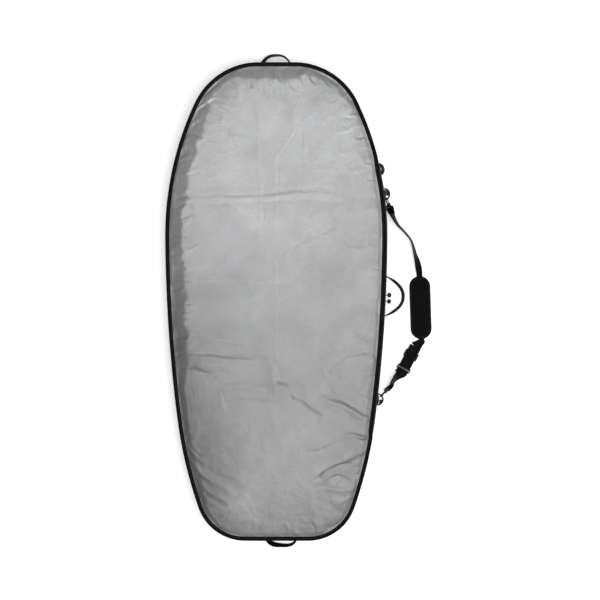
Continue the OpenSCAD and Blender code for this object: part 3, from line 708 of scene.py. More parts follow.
# ------------------------------------------------------------------ folds in the silver lid
# height (+ ridge, - valley), half width, side of the steep flank, then x, y along the fold
FOLDS = [
    # right side towards the tail: a long shallow fold, small wrinkles, and a pocket with a
    # full lip on its tail side
    (4.2, 11, -1, [(305.6, -379.2), (260.8, -360.0), (212.8, -331.2), (174.4, -318.4),
                   (132.8, -305.6)]),
    (-2.0, 6, 1, [(302.4, -392.0), (254.4, -379.2), (216.0, -353.6)]),
    (2.8, 6, -1, [(308.8, -424.0), (280.0, -433.6), (241.6, -424.0), (209.6, -436.8)]),
    (1.8, 7, 1, [(209.6, -436.8), (171.2, -449.6), (132.8, -465.6), (84.8, -468.8)]),
    (3.8, 13, 1, [(286.4, -481.6), (248.0, -491.2), (212.8, -510.4), (174.4, -526.4),
                  (132.8, -548.8), (94.4, -577.6)]),
    (-8.0, 19, 1, [(264.0, -564.8), (235.2, -558.4), (206.4, -539.2), (174.4, -542.4),
                   (139.2, -561.6)]),
    (4.6, 17, -1, [(257.6, -590.4), (222.4, -603.2), (187.2, -600.0), (145.6, -590.4),
                   (113.6, -574.4)]),
    (2.6, 12, -1, [(241.6, -625.6), (209.6, -638.4), (171.2, -632.0)]),
    (-3.6, 12, 1, [(222.4, -702.4), (190.4, -721.6), (145.6, -734.4)]),
    # left side towards the tail: a soft swirl off the corner
    (1.3, 6, 1, [(-299.2, -430.4), (-280.0, -465.6), (-254.4, -494.4), (-232.0, -513.6)]),
    (3.2, 15, 1, [(-276.8, -504.0), (-248.0, -542.4), (-206.4, -571.2), (-161.6, -593.6),
                  (-132.8, -625.6)]),
    (1.2, 8, -1, [(-267.2, -552.0), (-232.0, -593.6), (-190.4, -625.6), (-145.6, -644.8)]),
    (-0.9, 7, 1, [(-270.4, -526.4), (-238.4, -564.8), (-203.2, -593.6)]),
    (0.9, 6, -1, [(-299.2, -379.2), (-286.4, -430.4), (-276.8, -481.6)]),
    # the long bent crease across the middle
    (3.2, 12, 1, [(-305.6, -177.6), (-228.8, -177.6), (-155.2, -184.0), (-84.8, -187.2),
                  (-30.4, -190.4)]),
    (3.4, 12, 1, [(-27.2, -187.2), (-14.4, -209.6), (-8.0, -238.4), (-1.6, -260.8),
                  (49.6, -280.0), (62.4, -305.6)]),
    (3.0, 12, -1, [(56.0, -302.4), (84.8, -315.2), (116.8, -337.6), (145.6, -356.8),
                   (145.6, -392.0)]),
    (-3.4, 15, 1, [(-302.4, -216.0), (-251.2, -222.4), (-200.0, -232.0), (-148.8, -222.4)]),
    (1.9, 12, 1, [(-174.4, -270.4), (-116.8, -267.2), (-46.4, -273.6), (27.2, -270.4)]),
    (-1.5, 8, 1, [(-168.0, -321.6), (-110.4, -312.0), (-40.0, -318.4), (20.8, -328.0)]),
    (0.9, 5, 1, [(-184.0, -276.8), (-174.4, -308.8), (-168.0, -344.0)]),
    (-1.5, 11, 1, [(-308.8, -139.2), (-228.8, -132.8), (-123.2, -142.4), (11.2, -148.8)]),
    (1.4, 6, 1, [(171.2, -225.6), (206.4, -193.6), (241.6, -177.6), (312.0, -164.8)]),
    (2.4, 5, -1, [(251.2, -100.8), (280.0, -123.2), (318.4, -139.2)]),
    # cross creases
    (1.1, 8, 1, [(-302.4, 324.8), (-196.8, 331.2), (-68.8, 328.0), (75.2, 344.0),
                 (219.2, 337.6)]),
    (-0.9, 9, 1, [(-276.8, 305.6), (-116.8, 315.2), (43.2, 324.8), (219.2, 312.0)]),
    (0.55, 8, -1, [(-302.4, 65.6), (-180.8, 72.0), (-46.4, 65.6), (91.2, 78.4), (235.2, 72.0)]),
    (0.6, 8, 1, [(30.4, 152.0), (91.2, 184.0), (155.2, 209.6), (219.2, 241.6)]),
    # faint creases: two long ones, then short ones near the edges
    (0.5, 5, 1, [(-52.8, 619.2), (-56.0, 484.8), (-49.6, 324.8), (-56.0, 164.8)]),
    (0.5, 5, -1, [(91.2, 580.8), (88.0, 484.8), (94.4, 382.4)]),
    (1.0, 5, 1, [(-142.4, 728.0), (-123.2, 683.2), (-113.6, 641.6)]),
    (1.0, 5, 1, [(267.2, 561.6), (232.0, 545.6), (196.8, 539.2)]),
    (0.7, 5, 1, [(292.8, 427.2), (254.4, 414.4), (212.8, 414.4)]),
    (0.6, 5, -1, [(305.6, 177.6), (264.0, 168.0), (222.4, 171.2)]),
    (1.2, 5, 1, [(-78.4, -744.0), (-72.0, -718.4), (-68.8, -692.8)]),
    (1.3, 5, -1, [(33.6, -747.2), (36.8, -721.6), (30.4, -699.2)]),
    (1.2, 5, 1, [(132.8, -737.6), (123.2, -712.0), (110.4, -692.8)]),
    (1.2, 5, 1, [(-174.4, -728.0), (-161.6, -702.4), (-145.6, -680.0)]),
]


def random_creases():
    """small creases along the edges, in the same columns as FOLDS"""
    draw = random.Random(17)
    uniform, choice = draw.uniform, draw.choice
    creases = []

    def crease(points, heights, half_widths, signs=(1, -1)):
        height = uniform(*heights)
        if signs:
            height *= choice(signs)
        creases.append((height, uniform(*half_widths), choice((1, -1)), points))

    # short and sharp, where the left shoulder turns over
    y = 510.4
    while y > -225.6:
        x = -334.4 + draw.random() * 25.6
        length = 28.8 + draw.random() * 44.8
        rise = uniform(22.4, -16.0)
        crease([(x, y), (x + length * 0.5, y + rise * 0.3 + uniform(4.8, -4.8)),
                (x + length, y + rise)], (0.9, 2.0), (3.6, 5.0), signs=(1, 1, -0.7))
        y -= uniform(16.0, 35.2)
    # a fan off the corner left of the nose
    for k in range(9):
        x = -344.0 + k * 10.88 + uniform(-3.2, 3.2)
        y = 478.4 + k * 20.48 + uniform(6.4, -6.4)
        length = uniform(57.6, 108.8)
        crease([(x, y), (x + length * 0.5, y + length * 0.36 + uniform(4.8, -4.8)),
                (x + length, y + length * 0.62)], (0.9, 2.0), (3.8, 5.4))
    # darts running back from the nose seam
    for x in (-97.6, -62.4, -27.2, -1.6, 33.6, 65.6, 104.0, 145.6):
        length = uniform(25.6, 54.4)
        y = 721.6 + uniform(9.6, -9.6)
        crease([(x, y), (x + uniform(6.4, 16.0), y - length * 0.5),
                (x + uniform(16.0, 35.2), y - length)], (-1.8, -0.9), (4.0, 6.0), signs=None)
    # nicks all along the right-hand seam
    for k in range(26):
        y = 587.2 - k * 48.0 + uniform(16.0, -16.0)
        x = side_x(y, -14)
        length = uniform(16.0, 41.6)
        crease([(x, y), (x - length * 0.5, y + uniform(4.8, -4.8)),
                (x - length, y + uniform(12.8, -12.8))], (0.7, 1.7), (3.4, 4.6))
    return creases


FOLDS += random_creases()


def fold_heights(xy):
    """the height all the folds add at the points"""
    total = np.zeros(len(xy))
    for height, half_width, steep_side, points in FOLDS:
        line = catmull(points, 6)
        low, high = line.min(0) - 5 * half_width, line.max(0) + 5 * half_width
        near = ((xy > low) & (xy < high)).all(1)
        if not near.any():
            continue
        spots = xy[near]
        distance = np.full(len(spots), 1e9)
        side, share = np.zeros(len(spots)), np.zeros(len(spots))
        run = lengths(line)
        for i in range(len(line) - 1):
            span = line[i + 1] - line[i]
            square = span @ span
            t = np.clip(((spots - line[i]) @ span) / square, 0, 1)
            away = spots - (line[i] + t[:, None] * span)
            gap = np.linalg.norm(away, axis=1)
            closer = gap < distance
            distance[closer] = gap[closer]
            side[closer] = np.sign(span[0] * away[closer, 1] - span[1] * away[closer, 0])
            share[closer] = (run[i] + t[closer] * math.sqrt(square)) / run[-1]
        wobble = np.array([noise_at(x / 34, y / 34, height) for x, y in spots])
        u = (distance * side * steep_side + wobble * 4.0) / (half_width * (0.75 + 0.5 * share))
        ridge = np.where(u > 0, np.exp(-np.abs(u / 0.55) ** 1.5),
                         np.exp(-np.abs(u / 1.5) ** 1.4))
        dip = 0.4 * np.exp(-((u - 1.5) / 0.8) ** 2)
        taper = (np.clip(np.sin(np.clip(share, 0, 1) * math.pi), 0, 1) ** 0.6
                 * np.exp(-np.maximum(distance - 2.2 * half_width, 0) / half_width))
        # the first end of a fold stays fuller than its far end
        start = np.clip(1 - distance / (1.6 * half_width), 0, 1) ** 0.5 * 0.6 * (1 - share)
        taper = np.maximum(taper, np.where(share < 0.5, start, 0))
        total[near] += height * taper * (ridge - dip)
    return total


# ------------------------------------------------------------------ lid surface
EDGE_STEP = 2.0
EDGE_ARC = np.arange(0, 2 * HALF, EDGE_STEP)
EDGE_POINTS, EDGE_NORMALS = around(EDGE_ARC)
edge_tree = kdtree.KDTree(len(EDGE_ARC))
for i, (x, y) in enumerate(EDGE_POINTS):
    edge_tree.insert((x, y, 0), i)
edge_tree.balance()


def edge_info(xy):
    """distance in from the outline, and the index of the nearest edge sample"""
    index = np.array([edge_tree.find((x, y, 0))[1] for x, y in xy])
    return -np.sum((xy - EDGE_POINTS[index]) * EDGE_NORMALS[index], axis=1), index


def layered_noise(xy, scale, seed, octaves, ridged=False):
    total, weight, weights = np.zeros(len(xy)), 1.0, 0.0
    for octave in range(octaves):
        f = 2.0 ** octave / scale
        value = np.array([noise_at(x * f, y * f, seed + 7.3 * octave) for x, y in xy])
        if ridged:
            value = (1 - np.abs(value) * 2.2).clip(0) ** 2 - 0.35
        total += weight * value
        weights += weight
        weight *= 0.5
    return total / weights


# random lines along the binding: two sizes of pucker, their reach, and the shoulder's raggedness
PUCKER_FINE = noise_line(EDGE_ARC, scale=26, seed=3.1)
PUCKER_WIDE = noise_line(EDGE_ARC, scale=60, seed=9.7)
PUCKER_REACH = noise_line(EDGE_ARC, scale=90, seed=21.3)
SHOULDER_JAG = (0.7 * noise_line(EDGE_ARC, scale=75, seed=33.3)
                + 0.75 * noise_line(EDGE_ARC, scale=24, seed=51.7, octaves=3))


def crown_at(depth, index):
    """height above the sewn edge: a steep shoulder along the binding, then a gentle crown"""
    x, y = EDGE_POINTS[index].T
    jag = SHOULDER_JAG[index]
    # how much each edge sample belongs to each side; the four sum to one
    nose, tail = smooth((y - 560) / 150), smooth((-y - 600) / 120)
    middle = (1 - nose) * (1 - tail)
    left, right = middle * (x < 0), middle * (x >= 0)
    # the left shoulder is shallower towards the tail, the nose's is deep only at its centre
    deep = smooth((y + 320) / 210.0)
    centre = np.exp(-((x + 10) / 110.0) ** 4)
    width = (left * (22 + 24 * deep + (4 + 10 * deep) * jag) + nose * (21 + 22 * centre + 9 * jag)
             + right * (14 + 3 * jag) + tail * (13 + 3 * jag))
    rise = left * (7.5 + 12.0 * deep) + nose * (6.5 + 10.0 * centre) + right * 2.8 + tail * 2.6
    # a straight ramp with a soft knee, so that the shoulder reads as one tilted band
    share = np.clip(depth / width, 0, None)
    knee = 17.0
    ramp = (share - np.log1p(np.exp(knee * (share - 1))) / knee
            + math.log1p(math.exp(-knee)) / knee)
    dome = (CROWN - rise) * (1 - np.exp(-np.maximum(depth - 0.3 * width, 0) / 95.0))
    return rise * ramp + np.maximum(dome, 0)


def panel_height(xy, detail=True):
    depth, index = edge_info(xy)
    depth = np.maximum(depth - (inset_of(EDGE_POINTS[index]) + 12.0), 0)
    height = crown_at(depth, index)
    if detail:
        fade = smooth(depth / 10.0)
        # puckers gathered by the binding's seam, dying away inwards
        fine_reach = 16 + 10 * (PUCKER_REACH[index] + 1)
        wide_reach = 48 + 26 * (PUCKER_REACH[index] + 0.6)
        height += fade ** 0.5 * (1.5 * PUCKER_FINE[index] * np.exp(-depth / fine_reach)
                                 + 2.1 * PUCKER_WIDE[index] * np.exp(-depth / wide_reach))
        # swells, and ridged rumples that are strongest near the edge and towards the tail
        tailward = smooth((-xy[:, 1] - 60) / 260)
        height += fade * (1.6 * layered_noise(xy, scale=210, seed=1.7, octaves=2)
                          + (0.5 + 0.15 * tailward)
                          * layered_noise(xy, scale=70, seed=4.2, octaves=3))
        rumple = (0.50 + 0.95 * np.exp(-depth / 70) + 0.25 * tailward) * 1.15
        height += fade * rumple * layered_noise(xy, scale=85, seed=8.9, octaves=4, ridged=True)
        height += fade * fold_heights(xy)
    return height


def panel_grid(across, down, inset):
    """points in rows from nose to tail, inside the outline by inset"""
    half = BAG_LENGTH / 2 - inset
    t = np.linspace(0, 1, across)
    # a little denser towards both edges
    t = 0.5 - 0.5 * np.cos(t * math.pi) * 0.35 + (t - 0.5) * 0.65
    t = (t - t[0]) / (t[-1] - t[0])
    points = []
    for y in np.linspace(1, -1, down) * half:
        if abs(y) < half - 0.5:
            left = -side_x(y, -inset)
            right = side_x(y, -inset - RIGHT_INSET * bulge_at(y))
        else:
            right = NOSE_FLAT if y > 0 else TAIL_FLAT
            left = -right
        points += [(left + (right - left) * share, y) for share in t]
    return np.array(points)


def flat_layer(name, size, inset, heights, material, body, replaces):
    """a closed sheet over a panel grid; heights(xy) gives its top and bottom"""
    across, down = size
    xy = panel_grid(across, down, inset)
    top, bottom = heights(xy)
    count = len(xy)
    verts = np.vstack([np.column_stack([xy, np.broadcast_to(z, count)]) for z in (top, bottom)])
    corners = [i * across + j for i in range(down - 1) for j in range(across - 1)]
    faces = [(a, a + across, a + across + 1, a + 1) for a in corners]
    faces += [(count + a, count + a + 1, count + a + across + 1, count + a + across)
              for a in corners]
    rim = (list(range(across)) + [i * across + across - 1 for i in range(1, down)]
           + [(down - 1) * across + j for j in range(across - 2, -1, -1)]
           + [i * across for i in range(down - 2, 0, -1)])
    faces += [(a, b, b + count, a + count) for a, b in zip(rim, rim[1:] + rim[:1])]
    uvs = xy[np.array(faces).ravel() % count]
    attach(new_mesh(name, verts, faces, material, uvs), body, replaces)


def quilting(xy):
    """diamond quilting: full between the seams, pinched along them"""
    x, y = xy.T
    rising = np.abs(np.mod((x + y) / QUILT_PITCH, 1) - 0.5) * 2
    falling = np.abs(np.mod((x - y) / QUILT_PITCH, 1) - 0.5) * 2
    return QUILT_DEPTH * (1 - np.exp(-(1 - np.maximum(rising, falling)) / 0.17))


def silver_heights(xy):
    height = panel_height(xy)
    return RIM + 0.2 + height, RIM - 0.8 + height


def lid_foam_heights(xy):
    height = panel_height(xy, detail=False) * 0.94
    return RIM - 2.2 + height, RIM - 7.8 + height


def lid_lining_heights(xy):
    bottom = (RIM - 8.2 + panel_height(xy, detail=False) * 0.92 - quilting(xy) * 0.9
              - 0.25 * layered_noise(xy, scale=30, seed=5.0, octaves=2))
    return bottom + 1.2, bottom


SILVER_GRID = ((210, 430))
flat_layer("silver_panel", SILVER_GRID, 11.5, silver_heights, SILVER,
           "lid", "silver_panel_shell")
flat_layer("lid_foam", (60, 120), 13.5, lid_foam_heights, FOAM,
           "lid", "silver_panel_foam")
flat_layer("lid_lining", (110, 230), 13.0, lid_lining_heights, LINING,
           "lid", "silver_panel_lining")

# ------------------------------------------------------------------ bindings
# folded tape as offset, height: flat top with a stitched dip, rounded outer edge, thin inner lip
BINDING = [(-13.0, 1.1), (-11.6, 2.0), (-10.0, 2.5), (-8.6, 2.2), (-7.2, 2.9), (-4.5, 3.7),
           (-2.0, 3.6), (-0.6, 2.6), (0.0, 0.9), (-0.1, -0.8), (-0.8, -2.2), (-2.2, -3.0),
           (-4.0, -3.1), (-5.6, -2.6), (-7.0, -1.6), (-9.5, -0.7), (-12.0, -0.2), (-13.0, 0.1)]
LID_BINDING_Z, DECK_BINDING_Z = RIM + 0.2, 3.75


def lid_binding_lift(arc):
    return 0.3 * noise_line(arc, scale=34, seed=14.4)


def lid_binding_shape(points, arc, sections):
    wander = np.minimum(0.35 * noise_line(arc, scale=55, seed=4.4), 0.0)
    fullness = 1 + 0.05 * noise_line(arc, scale=22, seed=24.4)
    sections[:, :, 0] += (wander - inset_of(points))[:, None]
    sections[:, :, 1] = (LID_BINDING_Z + (sections[:, :, 1] - LID_BINDING_Z) * fullness[:, None]
                         + lid_binding_lift(arc)[:, None])
    return sections


def deck_binding_shape(points, arc, sections):
    wander = np.minimum(0.3 * noise_line(arc, scale=50, seed=5.4), 0)
    sections[:, :, 0] += wander[:, None]
    sections[:, :, 1] = np.maximum(sections[:, :, 1], 0.05)
    return sections


lid_binding = sweep("lid_binding", [(offset, LID_BINDING_Z + z) for offset, z in BINDING], TAPE,
                    step=6.0, shape=lid_binding_shape)
attach(lid_binding, "lid", "silver_binding")
deck_binding = sweep("deck_binding_tape",
                     [(offset, DECK_BINDING_Z - z) for offset, z in BINDING[::-1]], TAPE,
                     step=7.0, shape=deck_binding_shape)
attach(deck_binding, "base", "deck_binding")

seam_arc = np.arange(0, 2 * HALF, 4.0)
seam_points, _ = wall_at(seam_arc, -8.9 - inset_of(around(seam_arc)[0]),
                         LID_BINDING_Z + 2.25 + lid_binding_lift(seam_arc))
sew("lid_binding_stitches",
    stitch_row(seam_points, (0, 0, 1), spacing=5.0, length=3.0, radius=0.38, closed=True),
    "lid")

# ------------------------------------------------------------------ gusset walls
UPPER_HEIGHTS = [61.9, 62.6, 65.0, 68.0, 71.0, 75.0, 80.0, 85.5, 91.0, 96.0, 100.0, 103.0, 105.0]
LOWER_HEIGHTS = [7.4, 9.0, 12.0, 16.0, 21.0, 26.0, 31.0, 36.0, 40.0, 43.5, 46.5, 47.7]


def upper_wall(points, arc):
    """the lid's half of the gusset, fuller on the right side"""
    fullness = bulge(points)
    ripple = (noise_line(arc, scale=24, seed=51.0) * 0.55
              + noise_line(arc, scale=75, seed=57.0) * 0.6)
    for j, z in enumerate(UPPER_HEIGHTS):
        t = np.clip((z - 68.0) / (RIM - 2.0 - 68.0), 0, 1)
        outer = (-4.0 + (1.5 + 5.6 * fullness) * np.sin(t * math.pi) ** 0.8
                 - RIGHT_INSET * fullness * smooth((t - 0.45) / 0.55))
        outer = outer + ripple * np.sin(t * math.pi) * (0.6 + 0.2 * fullness)
        outer = np.minimum(outer, -0.2)
        inner = outer - 1.2
        yield outer, np.minimum(inner, -5.2) if j < len(UPPER_HEIGHTS) - 3 else inner


def lower_wall(points, arc):
    ripple = (noise_line(arc, scale=26, seed=61.0) * 0.5
              + noise_line(arc, scale=80, seed=67.0) * 0.5)
    for z in LOWER_HEIGHTS:
        t = np.clip((z - 7.6) / 36.0, 0, 1)
        swell = (0.8 + ripple * 0.5) * np.sin(t * math.pi) ** 0.8
        yield np.minimum(-4.0 + swell, -2.95), -5.2


gusset_upper = upright("gusset_upper", UPPER_HEIGHTS, upper_wall, (-4, -5.2), BLACK, step=5.0)
attach(gusset_upper, "lid", "gusset_upper_shell")
gusset_lower = upright("gusset_lower", LOWER_HEIGHTS, lower_wall, (-4, -5.2), BLACK, step=5.0)
attach(gusset_lower, "base", "gusset_lower_shell")

for name, bottom, top, body, node in (
        ("wall_foam_lower", 7.6, 45.6, "base", "gusset_lower_foam"),
        ("wall_foam_upper", 64.4, 103.4, "lid", "gusset_upper_foam")):
    foam = sweep(name, round_rect(-10.3, -5.5, bottom, top, radius=1.4), FOAM, step=16.0)
    attach(foam, body, node)


def wall_lining(name, bottom, top, body, node, seed):
    def faces_at(points, arc):
        ripple = noise_line(arc, scale=40, seed=seed)
        pinch = np.abs(np.sin(arc / (QUILT_PITCH / 2) * math.pi)) ** 0.5
        for j in range(7):
            yield -10.6, -11.4 - math.sin(j / 6 * math.pi) * (1.1 * pinch + 0.35 * ripple)
    lining = upright(name, np.linspace(bottom, top, 7), faces_at, (-10.6, -11.4), LINING, 6.0)
    attach(lining, body, node)


wall_lining("wall_lining_lower", 8.2, 45.8, "base", "gusset_lower_lining", seed=71.0)
wall_lining("wall_lining_upper", 64.6, 98.6, "lid", "gusset_upper_lining", seed=77.0)

# tape folded over the zip edge of each wall: offset, height beyond the edge
CAP = [(-5.3, -5), (-5.3, -0.4), (-6.2, 0.5), (-8.5, 0.9), (-11.0, 0.5), (-12.4, -0.8),
       (-12.8, -5.5), (-12.6, -8.0), (-11.7, -8.0), (-11.6, -1.6), (-10.2, -0.6), (-6.6, -0.6),
       (-5.9, -1.4), (-5.9, -5)]


def cap_tape(name, edge, way, body):
    """way is 1 where the wall ends upwards, -1 where it ends downwards"""
    def shape(points, arc, sections):
        ripple = 0.25 * noise_line(arc, scale=30, seed=81.0 + way)
        sections[:, :, 0] += ripple[:, None] * (sections[:, :, 0] < -8)
        return sections
    tape = sweep(name, [(offset, edge + z * way) for offset, z in CAP], TAPE, 6.0, shape=shape)
    attach(tape, body)
    points, normals = wall_at(np.arange(0, 2 * HALF, 5.0), -12.95, edge - 5.6 * way)
    sew(name + "_stitches",
        stitch_row(points, -normals, spacing=5.6, length=3.2, radius=0.36, closed=True),
        body)


cap_tape("wall_cap_lower", 46.6, 1, "base")
cap_tape("wall_cap_upper", 63.4, -1, "lid")


# ------------------------------------------------------------------ deck
def deck_heights(xy):
    uneven = (layered_noise(xy, scale=90, seed=12.0, octaves=3) * 0.5 + 0.5).clip(0, 1)
    lift = 0.55 * smooth(edge_info(xy)[0] / 25 - 0.4) * uneven
    return 1.3 + lift, 0.05 + lift


def deck_lining_heights(xy):
    depth = edge_info(xy)[0]
    top = (8.3 + quilting(xy) * smooth((depth - 12) / 18)
           + 0.35 * layered_noise(xy, scale=34, seed=15.0, octaves=2) * smooth((depth - 14) / 18))
    return top, 7.5


flat_layer("deck_panel", (70, 150), 11.0, deck_heights, BLACK,
           "base", "deck_panel_shell")
flat_layer("deck_foam", (40, 80), 12.0, lambda xy: (7.3, 1.9), FOAM,
           "base", "deck_panel_foam")
flat_layer("deck_lining", (130, 270), 12.2, deck_lining_heights, LINING,
           "base", "deck_panel_lining")


def quilt_thread(name, height_at, body, inset, up):
    """thread along both families of quilting seams; up is the sign of the facing side"""
    stitches = []
    end = BAG_LENGTH / 2 - inset - 14
    for family in (1, -1):
        for k in range(-14, 15):
            line = [(k * QUILT_PITCH - family * y, y) for y in np.arange(-end, end, 6.0)]
            line = np.array([(x, y) for x, y in line if abs(x) < side_x(y, -inset - 7)])
            if len(line) >= 4:
                height = np.broadcast_to(height_at(line), len(line))
                stitches += stitch_row(np.column_stack([line, height]), (0, 0, up),
                                       spacing=7.0, length=5.0, radius=0.6)
    sew(name, stitches, body)


quilt_thread("deck_quilting", lambda xy: 8.5, "base", 13.0, 1.0)
quilt_thread("lid_quilting", lambda xy: RIM - 8.3 + panel_height(xy, detail=False) * 0.92,
             "lid", 14.0, -1.0)

# ------------------------------------------------------------------ zip
# On the left side arc length runs from tail to nose, so the fold lies from its tail end to
# its nose end, and the zip takes the rest of the outline.
fold_low, fold_high = box_mm("spine_fold")
FOLD_NOSE = 2 * HALF - arc_at_y(fold_high[1] + 0.5)
FOLD_TAIL = 2 * HALF - arc_at_y(fold_low[1] - 0.5)
ZIP_START, ZIP_END = FOLD_NOSE - 2 * HALF + 1.5, FOLD_TAIL - 1.5
COIL_START, COIL_END = ZIP_START + 8.5, ZIP_END - 8.5


def strip(name, inner, outer, bottom, top, material, start, end, step=6.0, radius=0.35):
    return sweep(name, round_rect(inner, outer, bottom, top, radius, steps=2), material,
                 step, start, end)


def wall_seam(name, offset, z, spacing, radius, start, end, body):
    """a row of stitches on the outside of a wall"""
    points, normals = wall_at(np.linspace(start, end, max(4, int((end - start) / 4))), offset, z)
    sew(name, stitch_row(points, normals, spacing, 3.0, radius), body)


for name, bottom, top, body, node in (
        ("zip_tape_low", 40.2, 51.4, "base", "zip_tape_lower"),
        ("zip_tape_up", 58.6, 69.9, "lid", "zip_tape_upper")):
    tape = strip(name, -3.9, -3.0, bottom, top, ZIP_TAPE, ZIP_START, ZIP_END)
    attach(tape, body, node)
for name, z, body in (("zip_tape_low_stitches", 42.2, "base"),
                      ("zip_tape_up_stitches", 67.8, "lid")):
    wall_seam(name, -2.95, z, 5.6, 0.3, ZIP_START, ZIP_END, body)

COIL_PITCH = 2.6
# one turn of coil seen along the zip, a rounded D: offset, height
COIL_TURN = [(-5.2, -0.7), (-4.4, -1.35), (-2.6, -1.35), (-1.8, -0.6),
             (-1.8, 0.6), (-2.6, 1.35), (-4.4, 1.35), (-5.2, 0.7)]


def zip_coil(name, way, body, node):
    """one slim bar per turn; the upper row (way 1) is half a pitch ahead of the lower (-1)"""
    count = int((COIL_END - COIL_START) / COIL_PITCH)
    arc = COIL_START + (np.arange(count) + (0.5 if way > 0 else 0.0)) * COIL_PITCH
    verts, faces = [], []
    for place, normal in zip(*around(arc)):
        first = len(verts)
        tangent = np.array((normal[1], -normal[0]))
        for half_width in (-0.72, 0.72):
            for offset, z in COIL_TURN:
                spot = place + normal * offset + tangent * half_width
                verts.append((*spot, ZIP_Z + way * 2.15 + z))
        for j in range(8):
            k = (j + 1) % 8
            faces.append((first + j, first + k, first + 8 + k, first + 8 + j))
        faces.append(tuple(range(first + 7, first - 1, -1)))
        faces.append(tuple(range(first + 8, first + 16)))
    coil = new_mesh(name, verts, faces, COIL, smooth_shade=False, outward=True)
    attach(coil, body, node)


zip_coil("zip_teeth_low", -1, "base", "zip_coil_lower")
zip_coil("zip_teeth_up", 1, "lid", "zip_coil_upper")
# the sewn edge of each tape that carries the coil
for name, bottom, top, body in (("zip_bead_low", 50.4, 52.2, "base"),
                                ("zip_bead_up", 57.8, 59.6, "lid")):
    bead = strip(name, -4.6, -3.1, bottom, top, ZIP_TAPE, COIL_START, COIL_END, 8.0, 0.5)
    attach(bead, body)

# ------------------------------------------------------------------ fold on the left side
FOLD_HEIGHTS = np.concatenate([np.linspace(41.0, 48.0, 5), np.linspace(49.2, 62.0, 14),
                               np.linspace(63.5, 69.0, 4)])


def fold_faces(points, arc):
    ripple = noise_line(arc, scale=28, seed=95.0, octaves=3)
    sway = noise_line(arc, scale=60, seed=98.0)
    for z in FOLD_HEIGHTS:
        hollow = math.sin(np.clip((z - 48.0) / 14.0, 0, 1) * math.pi)
        outer = -3.4 - 0.9 * hollow * (1 + 0.4 * ripple) + 0.35 * sway * hollow
        yield outer, outer - 1.1


# one piece of fabric along the fold; it is not attached to the lid or the base
fold = upright("spine_fabric", FOLD_HEIGHTS, fold_faces, (-3.4, -4.5), BLACK, 5.0,
               FOLD_TAIL - 2.0, FOLD_NOSE + 2.0)
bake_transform(fold)
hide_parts("spine_fold")
for name, bottom, top, body in (("fold_tape_low", 41.0, 47.4, "base"),
                                ("fold_tape_up", 62.6, 69.4, "lid")):
    tape = strip(name, -3.5, -2.6, bottom, top, TAPE, FOLD_TAIL - 6, FOLD_NOSE + 6)
    attach(tape, body)
    for k, z in enumerate((bottom + 1.3, top - 1.3)):
        wall_seam(f"{name}_stitches_{k}", -2.55, z, 5.0, 0.32, FOLD_TAIL - 4, FOLD_NOSE + 4, body)


def zip_end(name, middle, replaces=None):
    """a folded bit of tape over the zip's end, with a bar tack"""
    def shape(points, arc, sections):
        sections[:, :, 0] += 0.18 * np.sin(arc * 2.2)[:, None]
        return sections
    tab = sweep(name, round_rect(-5.6, -1.6, 50.6, 54.0, radius=0.8), TAPE, 0.8,
                middle - 4.0, middle + 4.0, shape)
    attach(tab, "base", replaces)
    places, normals = wall_at(middle - 2.4 + np.arange(7) * 0.8, -1.55, 52.3)
    sew(name + "_tack", [stitch(place, (0, 0, 1), normal, 3.0, 0.34)
                         for place, normal in zip(places, normals)], "base")


zip_end("zip_end_nose", FOLD_NOSE - 5.5, "zip_end_stops")
zip_end("zip_end_tail", FOLD_TAIL + 5.5)


# ------------------------------------------------------------------ handles and patches
def box_stitch(start, end, bottom, top, offset):
    """a box with a cross, sewn through webbing on the wall"""
    a, b, c, d = (start, bottom), (end, bottom), (end, top), (start, top)
    stitches = []
    for first, last in ((a, b), (b, c), (c, d), (d, a), (a, c), (d, b)):
        t = np.linspace(0, 1, 12)[:, None]
        arc, z = (np.array(first) * (1 - t) + np.array(last) * t).T
        points, normals = wall_at(arc, offset, z)
        stitches += stitch_row(points, normals, spacing=3.4, length=2.6, radius=0.42)
    return stitches


def patch(name, middle, length, bottom, top, thick=1.7, offset=-4.2, replaces=None):
    """a piece of webbing sewn flat on the lower wall"""
    def shape(points, arc, sections):
        end = np.clip((length / 2 - np.abs(arc - middle)) / 1.6, 0, 1) ** 0.5
        out = sections[:, :, 0]
        sections[:, :, 0] = np.where(
            out > offset + 0.3,
            offset + (out - offset) * (0.35 + 0.65 * end[:, None])
            + 0.12 * noise_line(arc, scale=9, seed=31.0)[:, None], out)
        return sections
    profile = []
    for j, z in enumerate(np.linspace(bottom, top, 9)):
        edge = abs((z - (bottom + top) / 2) / ((top - bottom) / 2)) ** 10
        profile.append((offset + thick * (1 - 0.55 * edge) + (0.14 if j in (1, 7) else 0), z))
    profile += [(offset, top), (offset, bottom)]
    piece = sweep(name, profile, WEB, 1.5, middle - length / 2, middle + length / 2, shape)
    attach(piece, "base", replaces)
    sew(name + "_stitches",
        box_stitch(middle - length / 2 + 3, middle + length / 2 - 3, bottom + 3.2, top - 3.2,
                   offset + thick + 0.02), "base")


def sew_handle(name, frames, body, across, margin, spacing):
    """stitches along both edges and on both faces, leaving a share bare at each end"""
    stitches = []
    count = len(frames[0])
    part = slice(int(count * margin), int(count * (1 - margin)))
    centres, sideways, normals, rows = (values[part] for values in frames)
    for face in (1, -1):
        for x in (-across, across):
            points = (centres + sideways * (rows[:, 4:5] / 2 * x)
                      + normals * (face * (rows[:, 5:6] / 2 + 0.02)))
            stitches += stitch_row(points, normals * face, spacing, length=2.6, radius=0.4)
    sew(name, stitches, body)


